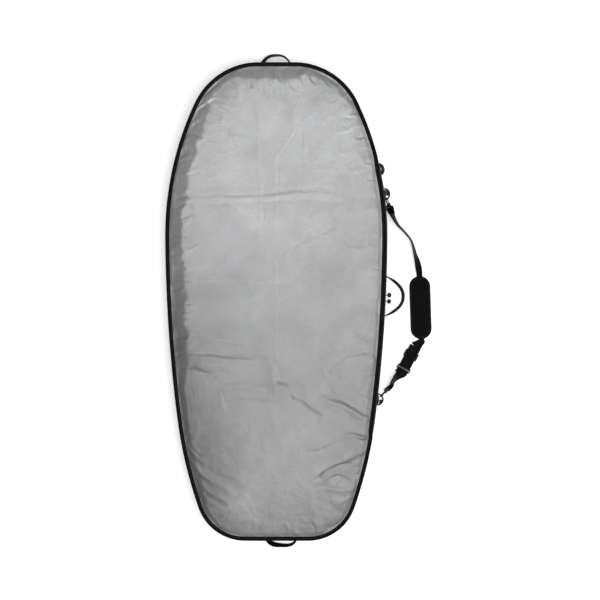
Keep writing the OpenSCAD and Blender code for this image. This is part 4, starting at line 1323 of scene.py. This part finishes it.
def side_handle():
    """webbing standing nearly on edge, narrowed towards its sewn ends"""
    low, high = box_mm("side_handle")
    middle = (low[1] + high[1]) / 2
    patch("side_patch_nose", arc_at_y(middle + 64) - 1, 32, 12.2, 38.4,
          replaces="handle_patches")
    patch("side_patch_tail", arc_at_y(middle - 64) + 1, 32, 12.2, 38.4)
    place, axis = joint("side_handle_flop")
    angle = math.atan2(-axis[0], -axis[1])
    span, reach, width = 131.0, 60.0, 25.0
    rows = []
    for t in np.linspace(-1, 1, 25):
        out = reach * (1 - abs(t) ** 2.2) - 0.2
        along = span / 2 * t + 1.2 * math.sin(t * 3)
        turn = 80 - 8 * float(smooth(out / 34.0)) * (1 + 0.12 * math.sin(4.1 * t + 1))
        rows.append((place[0] + out * math.cos(angle) + along * math.sin(angle),
                     place[1] - out * math.sin(angle) + along * math.cos(angle),
                     place[2] + 0.4 * math.sin(5 * t), turn,
                     width * min(1.0, 0.2 + 0.8 * float(smooth(out / 30.0))), 2.7))
    handle, frames = ribbon("side_handle_webbing", rows, steps=6, cup=0.05)
    attach(handle, "side_handle", "side_handle")
    sew_handle("side_handle_stitches", frames, "side_handle", 0.82, margin=0.14, spacing=3.6)


def end_loop(name, node, span, reach, turns, way, middle, power):
    """a grab loop standing out from the nose (way 1) or tail (way -1); turns are the
    webbing's turn from flat at its left end, middle and right end"""
    wall = joint(node + "_flop")[0][1]
    rows = []
    for t in np.linspace(-1, 1, 21):
        out = (reach - 1.2) * (1 - abs(t) ** power) - 0.6
        turn = float(np.interp(t, [-1, 0, 1], turns))
        width = 21.0 * min(1, 0.2 + 0.8 * float(smooth(out / 20.0)))
        # the wide webbing must stay outside the wall where it lies flat
        back = abs(cosd(turn)) * width * 0.40 * float(smooth(out / 9.0))
        rows.append((middle + (span - 3) / 2 * t, wall + way * (out - back),
                     25.0 + 0.3 * math.sin(6 * t), turn, width, 2.2))
    loop, frames = ribbon(name, rows, steps=6, cup=0.04)
    attach(loop, node, node)
    sew_handle(name + "_stitches", frames, node, 0.78, margin=0.2, spacing=3.4)


NOSE_LOOP_X, TAIL_LOOP_X, LOOP_HALF = -2.5, 16, 43
side_handle()
end_loop("nose_loop_webbing", "nose_handle", span=107, reach=39.5, turns=(50, 62, 78), way=1,
         middle=NOSE_LOOP_X, power=2.9)
end_loop("tail_loop_webbing", "tail_handle", span=109, reach=32.0, turns=(38, 60, 78), way=-1,
         middle=TAIL_LOOP_X, power=3.8)
for k, side in enumerate((-LOOP_HALF, LOOP_HALF)):
    patch(f"nose_patch_{k}", NOSE_LOOP_X + side, 24, 12.2, 38.4)
for k, side in enumerate((-LOOP_HALF, LOOP_HALF)):
    patch(f"tail_patch_{k}", HALF - (TAIL_LOOP_X + side), 24, 12.2, 38.4)


# ------------------------------------------------------------------ strap
def bar_angle(axis):
    """angle of a ring's outward direction, from the axis its bar lies on"""
    return -math.degrees(math.atan2(-axis[0], -axis[1]))


# the strap swings on the line through both ring bars
UPPER_RING_Y, LOWER_RING_Y = 347, -317
swing_place, swing_axis = joint("strap_swing")
STRAP_ANGLE = bar_angle(swing_axis)
half_bar = -swing_axis * ((UPPER_RING_Y - LOWER_RING_Y) / 2 / -swing_axis[1])
UPPER_BAR, LOWER_BAR = swing_place + half_bar, swing_place - half_bar
HOOK_REACH = 17.0 + 34.0                         # ring's radius, then on to the hook's eye
# bar, tilt downwards and swing of each hook
UPPER_HOOK, LOWER_HOOK = (UPPER_BAR, 30, -65), (LOWER_BAR, 20, 45)

pad_low, pad_high = box_mm("pad_backing")
PAD_CENTRE = (pad_low + pad_high)[:2] / 2
PAD_TURN, PAD_LENGTH, PAD_WIDTH = 1.86, 203.0, 66.6
PAD_BOTTOM = pad_low[2]
PAD_WEB_Z = PAD_BOTTOM + 3.9

# the doubled run of webbing on the tail side of the pad
RUN_START = np.array([450.0, -148.0])
RUN_AHEAD = np.array([-0.4745, -0.8803])
RUN_AHEAD = RUN_AHEAD / np.linalg.norm(RUN_AHEAD)
RUN_SIDE = np.array([-RUN_AHEAD[1], RUN_AHEAD[0]])
RUN_LENGTH = 72.0
glide_low, glide_high = box_mm("tri_glide")
RUN_Z = (glide_low[2] + glide_high[2]) / 2
STRAP_WIDTH = 38


def hook_vector(hook, vector):
    """a direction in the hook's own frame (x away from the ring), as world x, y, z"""
    _, tilt, swing = hook
    x, y, z = vector
    x, y = x * cosd(swing) - y * sind(swing), x * sind(swing) + y * cosd(swing)
    x, z = x * cosd(tilt) + z * sind(tilt), -x * sind(tilt) + z * cosd(tilt)
    return np.array([x * cosd(STRAP_ANGLE) - y * sind(STRAP_ANGLE),
                     x * sind(STRAP_ANGLE) + y * cosd(STRAP_ANGLE), z])


def hook_point(hook, distance):
    bar = hook[0]
    return np.array((bar[0], bar[1], swing_place[2])) + hook_vector(hook, (distance, 0, 0))


def pad_point(x, y):
    """pad coordinates (y along it) to world x, y"""
    return np.stack((PAD_CENTRE[0] + x * cosd(PAD_TURN) - y * sind(PAD_TURN),
                     PAD_CENTRE[1] + x * sind(PAD_TURN) + y * cosd(PAD_TURN)), axis=-1)


def run_point(distance):
    return RUN_START + distance * RUN_AHEAD


# rows of x, y, z, turn from flat, width, thickness: upper hook, over the pad, to the run
UPPER_ROWS = [
    (*hook_point(UPPER_HOOK, HOOK_REACH + 2.3), 60, STRAP_WIDTH, 3.3),
    (*hook_point(UPPER_HOOK, HOOK_REACH + 14), 62, STRAP_WIDTH, 3.3),
    (390, 252, 26, 73, STRAP_WIDTH, 2.6), (413.4, 226.9, 24, 76, STRAP_WIDTH, 1.9),
    (433.6, 202.2, 22, 77, STRAP_WIDTH, 1.9), (442.5, 180, 21, 74, STRAP_WIDTH, 1.9),
    (450.2, 149.4, 19, 66, 36, 2.0), (457.5, 124, 14, 44, 28, 2.4),
    (*pad_point(0, PAD_LENGTH / 2 + 12), PAD_WEB_Z + 1.5, 14, 21, 2.9),
    (*pad_point(0, PAD_LENGTH / 2 + 2), PAD_WEB_Z, 0, 19, 3.0),
    (*pad_point(0, 0), PAD_WEB_Z, 0, 19, 3.0),
    (*pad_point(0, -PAD_LENGTH / 2 - 2), PAD_WEB_Z, 0, 19, 3.0),
    (*(pad_point(0, -PAD_LENGTH / 2 - 9) - (0.5, 0)), PAD_WEB_Z + 0.5, 0, 21, 2.9),
    (*run_point(-0.3), RUN_Z, 0, STRAP_WIDTH, 2.5)]
# the same, from the strap ring to the lower hook
LOWER_ROWS = [
    (*run_point(RUN_LENGTH + 15.2), RUN_Z, 0, STRAP_WIDTH, 3.2),
    (*run_point(RUN_LENGTH + 20), RUN_Z + 0.8, 8, STRAP_WIDTH, 3.2),
    (395.5, -238, 15, 40, STRAP_WIDTH, 2.0), (381, -253.5, 21, 62, STRAP_WIDTH, 2.0),
    (*hook_point(LOWER_HOOK, HOOK_REACH + 12), 68, STRAP_WIDTH, 3.2),
    (*hook_point(LOWER_HOOK, HOOK_REACH + 2.3), 70, STRAP_WIDTH, 3.2)]
strap, _ = ribbon("strap_webbing_main", UPPER_ROWS, steps=14, cup=0.03, across=14)
attach(strap, "strap", "strap_webbing")
strap_tail, _ = ribbon("strap_webbing_tail", LOWER_ROWS, steps=12, cup=0.03, across=14)
attach(strap_tail, "strap", "strap_tail_webbing")


def fold_loop(name, centre, ahead, sideways, width, tail):
    """webbing folded round a bar at centre; its two legs, tail long, close up ahead"""
    thick = 1.5
    bend = 1.95 + thick / 2
    centre = np.asarray(centre)
    ahead, sideways = (np.asarray(v, float) / np.linalg.norm(v) for v in (ahead, sideways))
    up = np.cross(ahead, sideways)
    leg = []
    for k in range(7):
        t = k / 6
        leg.append((tail * (1 - t) + 0.4 * t, thick * 0.55 * (1 - smooth(t)) + bend * smooth(t)))
    angles = [-90 - 180 * k / 20 for k in range(1, 20)]
    path = ([(x, -z) for x, z in leg] + [(bend * cosd(a), bend * sind(a)) for a in angles]
            + leg[::-1])
    loop = bent_webbing(name, path, centre, ahead, up, sideways, thick, width)
    attach(loop, "strap")
    # a box stitch over the two legs
    stitches = []
    for face in (1, -1):
        surface = centre + up * face * (thick * 1.16)
        lines = [[surface + ahead * x + sideways * share * width / 2
                  for x in np.linspace(tail * 0.62, tail * 0.97, 6)] for share in (-0.72, 0.72)]
        lines += [[surface + ahead * tail * x + sideways * share * width / 2
                   for share in np.linspace(-0.72, 0.72, 8)] for x in (0.64, 0.95)]
        for line in lines:
            stitches += stitch_row(line, up * face, spacing=3.2, length=2.5, radius=0.4)
    sew(name + "_stitches", stitches, "strap")


for name, hook in (("hook_loop_upper", UPPER_HOOK), ("hook_loop_lower", LOWER_HOOK)):
    fold_loop(name, hook_point(hook, HOOK_REACH), hook_vector(hook, (1, 0, 0)),
              hook_vector(hook, (0, 0, 1)), width=36.5, tail=17)


def doubled_run():
    """two layers joined at both ends, the upper one a little slack"""
    gap = 3.0
    path = [(RUN_LENGTH * k / 12, gap + 0.5 * math.sin(math.pi * k / 12)) for k in range(13)]
    turn = [math.pi / 2 - math.pi * k / 9 for k in range(1, 9)]
    path += [(RUN_LENGTH + 1.2 * math.cos(a), gap * math.sin(a)) for a in turn]
    path += [(RUN_LENGTH * (1 - k / 12), -gap - 0.3 * math.sin(math.pi * k / 12))
             for k in range(13)]
    turn = [-math.pi / 2 - math.pi * k / 9 for k in range(1, 9)]
    path += [(1.2 * math.cos(a), gap * math.sin(a)) for a in turn]
    run = bent_webbing("strap_doubled_run", path, (*RUN_START, RUN_Z), (*RUN_AHEAD, 0),
                       (0, 0, 1), (*RUN_SIDE, 0), thick=1.6, width=STRAP_WIDTH, loop=True)
    attach(run, "strap")


doubled_run()
# loops of webbing round both bars of the strap ring
fold_loop("ring_loop_upper", (*run_point(RUN_LENGTH + 2.2), RUN_Z), (*-RUN_AHEAD, 0),
          (*RUN_SIDE, 0), width=37.0, tail=6.4)
lower_bar = run_point(RUN_LENGTH + 12.6)
fold_loop("ring_loop_lower", (*lower_bar, RUN_Z), (*(LOWER_ROWS[2][:2] - lower_bar), 3.0),
          (*RUN_SIDE, 0), width=37.0, tail=15)

# ------------------------------------------------------------------ shoulder pad


def stadium():
    """points and outward normals of the pad's outline, anticlockwise from its +x side"""
    radius = PAD_WIDTH / 2
    straight = (PAD_LENGTH - PAD_WIDTH) / 2
    points, normals = [], []
    for way in (1, -1):
        for k in range(49):
            angle = math.pi * k / 48 + (0 if way > 0 else math.pi)
            normals.append((math.cos(angle), math.sin(angle)))
            points.append((radius * normals[-1][0], way * straight + radius * normals[-1][1]))
        for k in range(1, 24):
            points.append((-way * radius, way * (straight - 2 * straight * k / 24)))
            normals.append((-way, 0))
    return np.array(points), np.array(normals)


PAD_EDGE, PAD_NORMALS = stadium()
PAD_ROUND = ring_lengths(PAD_EDGE)


def pad_ring(inset, z):
    """points on the pad parallel to its outline"""
    edge = PAD_EDGE - PAD_NORMALS * inset
    return np.column_stack([pad_point(*edge.T), np.broadcast_to(z, len(edge))])


def pad_solid(name, rings, material, replaces):
    """a closed body over rings of inset, z, ripple"""
    sections = []
    for k, (inset, z, ripple) in enumerate(rings):
        wobble = np.array([noise_at(x / 14, y / 14, 40 + k * 0.15) for x, y in PAD_EDGE])
        sections.append(pad_ring(min(inset, PAD_WIDTH / 2 - 0.5), z + wobble * ripple))
    along = lengths(np.array(rings)[:, :2])
    attach(loft(name, sections, material, along, PAD_ROUND), "strap", replaces)


PAD_TOP = box_mm("pad_cover")[1][2] - 0.2
COVER_BOTTOM = PAD_BOTTOM + 1.9
COVER_SHOULDER = COVER_BOTTOM + 10.4
# inset, height above the cover's bottom, ripple: up the side to the shoulder
COVER_SIDE = [(3.0, 0, 0), (0.9, 0.2, 0.0), (0.3, 2.5, 0.1), (0.2, 5.0, 0.15), (0.6, 7.4, 0.2),
              (1.6, 9.2, 0.25), (3.2, 10.4, 0.3)]
# inset, height above the pad's bottom, ripple
FOAM_RINGS = [(4.0, 6.0, 0), (3.2, 7, 0), (3.4, 9.5, 0), (6.0, 11.2, 0), (20.0, 12.0, 0),
              (32.0, 12.4, 0)]
BACK_RINGS = [(32.0, 0.5, 0), (12.0, 0.3, 0.1), (3.0, 0.05, 0.0), (1.0, 0.4, 0), (0.6, 1.2, 0),
              (1.2, 1.9, 0), (12.0, 2.0, 0), (32.0, 2.0, 0)]


def raised(rings, bottom):
    return [(inset, bottom + z, ripple) for inset, z, ripple in rings]


def pad_crown(inset):
    share = (inset - 3.2) / 30
    return COVER_SHOULDER + (PAD_TOP - COVER_SHOULDER) * (1 - (1 - share) ** 2.4)


cover_rings = raised(COVER_SIDE, COVER_BOTTOM)
for inset in np.linspace(5.0, 32.5, 15):
    cover_rings.append((inset, pad_crown(inset), 0.32 * (1 - (inset - 3.2) / 30)))
pad_solid("pad_top", cover_rings, PAD_KNIT, "pad_cover")
pad_solid("pad_foam_core", raised(FOAM_RINGS, PAD_BOTTOM), FOAM, "pad_foam")
pad_solid("pad_underside", raised(BACK_RINGS, PAD_BOTTOM), BLACK, "pad_backing")

# piping round the seam, and a line of stitches inside it
PIPING_RADIUS = 1.5
piping_lines = [pad_ring(0.6 - PIPING_RADIUS * cosd(45 * k),
                         PAD_BOTTOM + 2.3 + PIPING_RADIUS * sind(45 * k)) for k in range(8)]
piping = loft("pad_piping", np.stack(piping_lines, axis=1), TAPE, PAD_ROUND,
              np.arange(9) * 1.2, loop=True)
attach(piping, "strap")
sew("pad_stitches", stitch_row(pad_ring(5.2, pad_crown(5.2) + 0.12), (0, 0, 1), spacing=4.0,
                               length=2.8, radius=0.4, closed=True), "strap")


# ------------------------------------------------------------------ ring tabs
def ring_tab(name, centre, angle, width=25.0, replaces=None):
    """webbing folded round a ring's bar, with both ends at the wall"""
    bend = 2.85
    angles = [-118 + 236 * k / 16 for k in range(17)]
    path = [(-6.0, -5.0), (-4.9, -3.6), (-3.2, -2.8)]
    path += [(bend * cosd(a), bend * sind(a)) for a in angles]
    path += [(-3.0, 2.7), (-4.8, 2.5), (-6.0, 2.6)]
    tab = bent_webbing(name, path, centre, (cosd(angle), sind(angle), 0), (0, 0, 1),
                       (-sind(angle), cosd(angle), 0), thick=1.5, width=width)
    attach(tab, "base", replaces)


spare_place, spare_axis = joint("spare_ring_flop")
ring_tab("spare_ring_tab", spare_place, bar_angle(spare_axis), 14.4, "ring_tabs")
ring_tab("upper_ring_tab", UPPER_BAR, STRAP_ANGLE)
ring_tab("lower_ring_tab", LOWER_BAR, STRAP_ANGLE)
for name, y in (("spare_ring_patch", 428), ("upper_ring_patch", UPPER_RING_Y),
                ("lower_ring_patch", LOWER_RING_Y)):
    patch(name, arc_at_y(y), 27, 11.0, 33.6, thick=1.5, offset=-4.3)

# ------------------------------------------------------------------ zip pulls
# distance from the pin, half width, half height: a neck, then a fat rounded grip with ribs
PULL_SECTIONS = [
    (-1.6, 1.2, 2.2), (-1.2, 1.9, 2.7), (0.5, 2.0, 2.75), (2.4, 1.7, 2.75), (3.3, 2.4, 2.85),
    (3.9, 4.4, 4.4), (4.7, 6.2, 5.7), (5.8, 7.2, 6.3), (7.0, 7.6, 6.45), (7.8, 7.3, 6.25),
    (8.8, 7.7, 6.5), (9.8, 7.3, 6.25), (10.8, 7.5, 6.45), (11.9, 7.0, 6.2), (13.2, 6.1, 6.0),
    (14.5, 4.7, 5.4), (15.3, 2.9, 4.2), (15.7, 1.0, 2.0)]


def zip_pull(name, node, pin):
    place = joint(pin)[0]
    low, high = box_mm(node)
    toward = (low + high) / 2 - place
    angle = math.atan2(toward[1], toward[0])
    ahead = np.array([math.cos(angle), math.sin(angle), 0])
    sideways = np.array([-math.sin(angle), math.cos(angle), 0])
    # a squarish oval
    oval = [tuple(math.copysign(abs(v) ** 0.66, v) for v in (cosd(15 * k), sind(15 * k)))
            for k in range(24)]
    sections = [[place + ahead * x + sideways * (half_width * u) + np.array((0, 0, half_height * v))
                 for u, v in oval] for x, half_width, half_height in PULL_SECTIONS]
    attach(loft(name, sections, RUBBER), node, node)


zip_pull("pull_grip_nose", "pull_nose", "nose_pull_tilt")
zip_pull("pull_grip_tail", "pull_tail", "tail_pull_tilt")

# ------------------------------------------------------------------ hardware in its CAD shapes
# pieces, material, slot, angle beyond which an edge is sharp, bevel width in metres
HARDWARE = [
    (("spare_d_ring", "d_ring_upper", "d_ring_lower", "strap_ring"),
     PLASTIC, "fitting_plastic", 35, 0),
    (("hook_upper", "hook_lower", "tri_glide"), PLASTIC, "fitting_plastic", 40, 0.0004),
    (("gate_upper", "gate_lower"), STEEL, "spring_steel", 35, 0),
    (("slider_nose", "slider_tail"), ENAMEL, "zip_metal", 35, 0.0003),
]
for nodes, material, slot, sharp_angle, bevel_width in HARDWARE:
    for node in nodes:
        piece = frame["nodes"][node]
        mesh = piece.data
        mesh.materials.clear()
        mesh.materials.append(material)
        mesh.polygons.foreach_set("use_smooth", [True] * len(mesh.polygons))
        mesh.set_sharp_from_angle(angle=math.radians(sharp_angle))
        if bevel_width:
            bevel = piece.modifiers.new("soft_edges", "BEVEL")
            bevel.width = bevel_width
            bevel.segments = 2
            bevel.limit_method = "ANGLE"
            bevel.angle_limit = math.radians(50)

# ------------------------------------------------------------------ camera, floor, light (metres)
scene = bpy.context.scene
camera_data = bpy.data.cameras.new("camera")
camera = bpy.data.objects.new("camera", camera_data)
scene.collection.objects.link(camera)
camera_data.sensor_width = 36
camera_data.lens = 110.6
camera_data.clip_end = 60
# unrotated, so it looks straight down
camera.location = (0.0752, 0.0048, 6.0)
scene.camera = camera


def floor_paper():
    mat = Material("floor_paper", spec=0.2, glow_colour=(1, 1, 1, 1), glow=0.34)
    cloud = mat.noise(mat.coords(), scale=2.2, detail=4, rough=0.5)
    colour = mat.ramp(cloud, [(0.3, grey(0.93)), (0.7, grey(0.955))])
    return mat.finish(colour, mat.remap(cloud, to=(0.85, 0.95)))


FLOOR_HALF, FLOOR_Z = 9000, -0.6                 # mm
floor_corners = [(x * FLOOR_HALF, y * FLOOR_HALF, FLOOR_Z)
                 for x, y in ((-1, -1), (1, -1), (1, 1), (-1, 1))]
new_mesh("floor", floor_corners, [(0, 1, 2, 3)], floor_paper(), smooth_shade=False)


def area_light(name, location, target, size, power):
    data = bpy.data.lights.new(name, "AREA")
    data.shape = "RECTANGLE"
    data.size, data.size_y = size
    data.energy = power
    light = bpy.data.objects.new(name, data)
    scene.collection.objects.link(light)
    light.location = location
    aim = Vector(target) - Vector(location)
    light.rotation_euler = aim.to_track_quat("-Z", "Y").to_euler()


area_light("key_overhead", location=(0.45, -0.35, 4.0), target=(0.0, 0.1, 0.0),
           size=(2.2, 2.6), power=100)
area_light("fill_right", location=(3.6, -0.4, 3.0), target=(0.1, 0.0, 0.0),
           size=(2.2, 3.0), power=34)


def studio_world():
    """brighter overhead, dimmer to the left and beyond the nose"""
    world = bpy.data.worlds.new("studio")
    scene.world = world
    sky = Nodes(world)
    output = sky.node("ShaderNodeOutputWorld")
    x, y, z = sky.xyz(sky.node("ShaderNodeTexCoord").outputs["Generated"])
    soft = "SMOOTHSTEP"
    overhead = sky.remap(z, source=(0.05, 0.80), to=(0.30, 0.80), interpolation=soft)
    left = sky.remap(x, source=(-0.75, -0.15), to=(0.46, 1.0), interpolation=soft)
    nose = sky.remap(y, source=(0.22, 0.72), to=(1.0, 0.42), interpolation=soft)
    strength = sky.mul(overhead, sky.mul(left, nose))
    background = sky.node("ShaderNodeBackground", {"Strength": strength, "Color": (1, 1, 1, 1)})
    sky.feed(output, {0: background.outputs[0]})


studio_world()
scene.view_settings.view_transform = "Standard"
scene.view_settings.look = "None"
scene.view_settings.exposure = 0.0
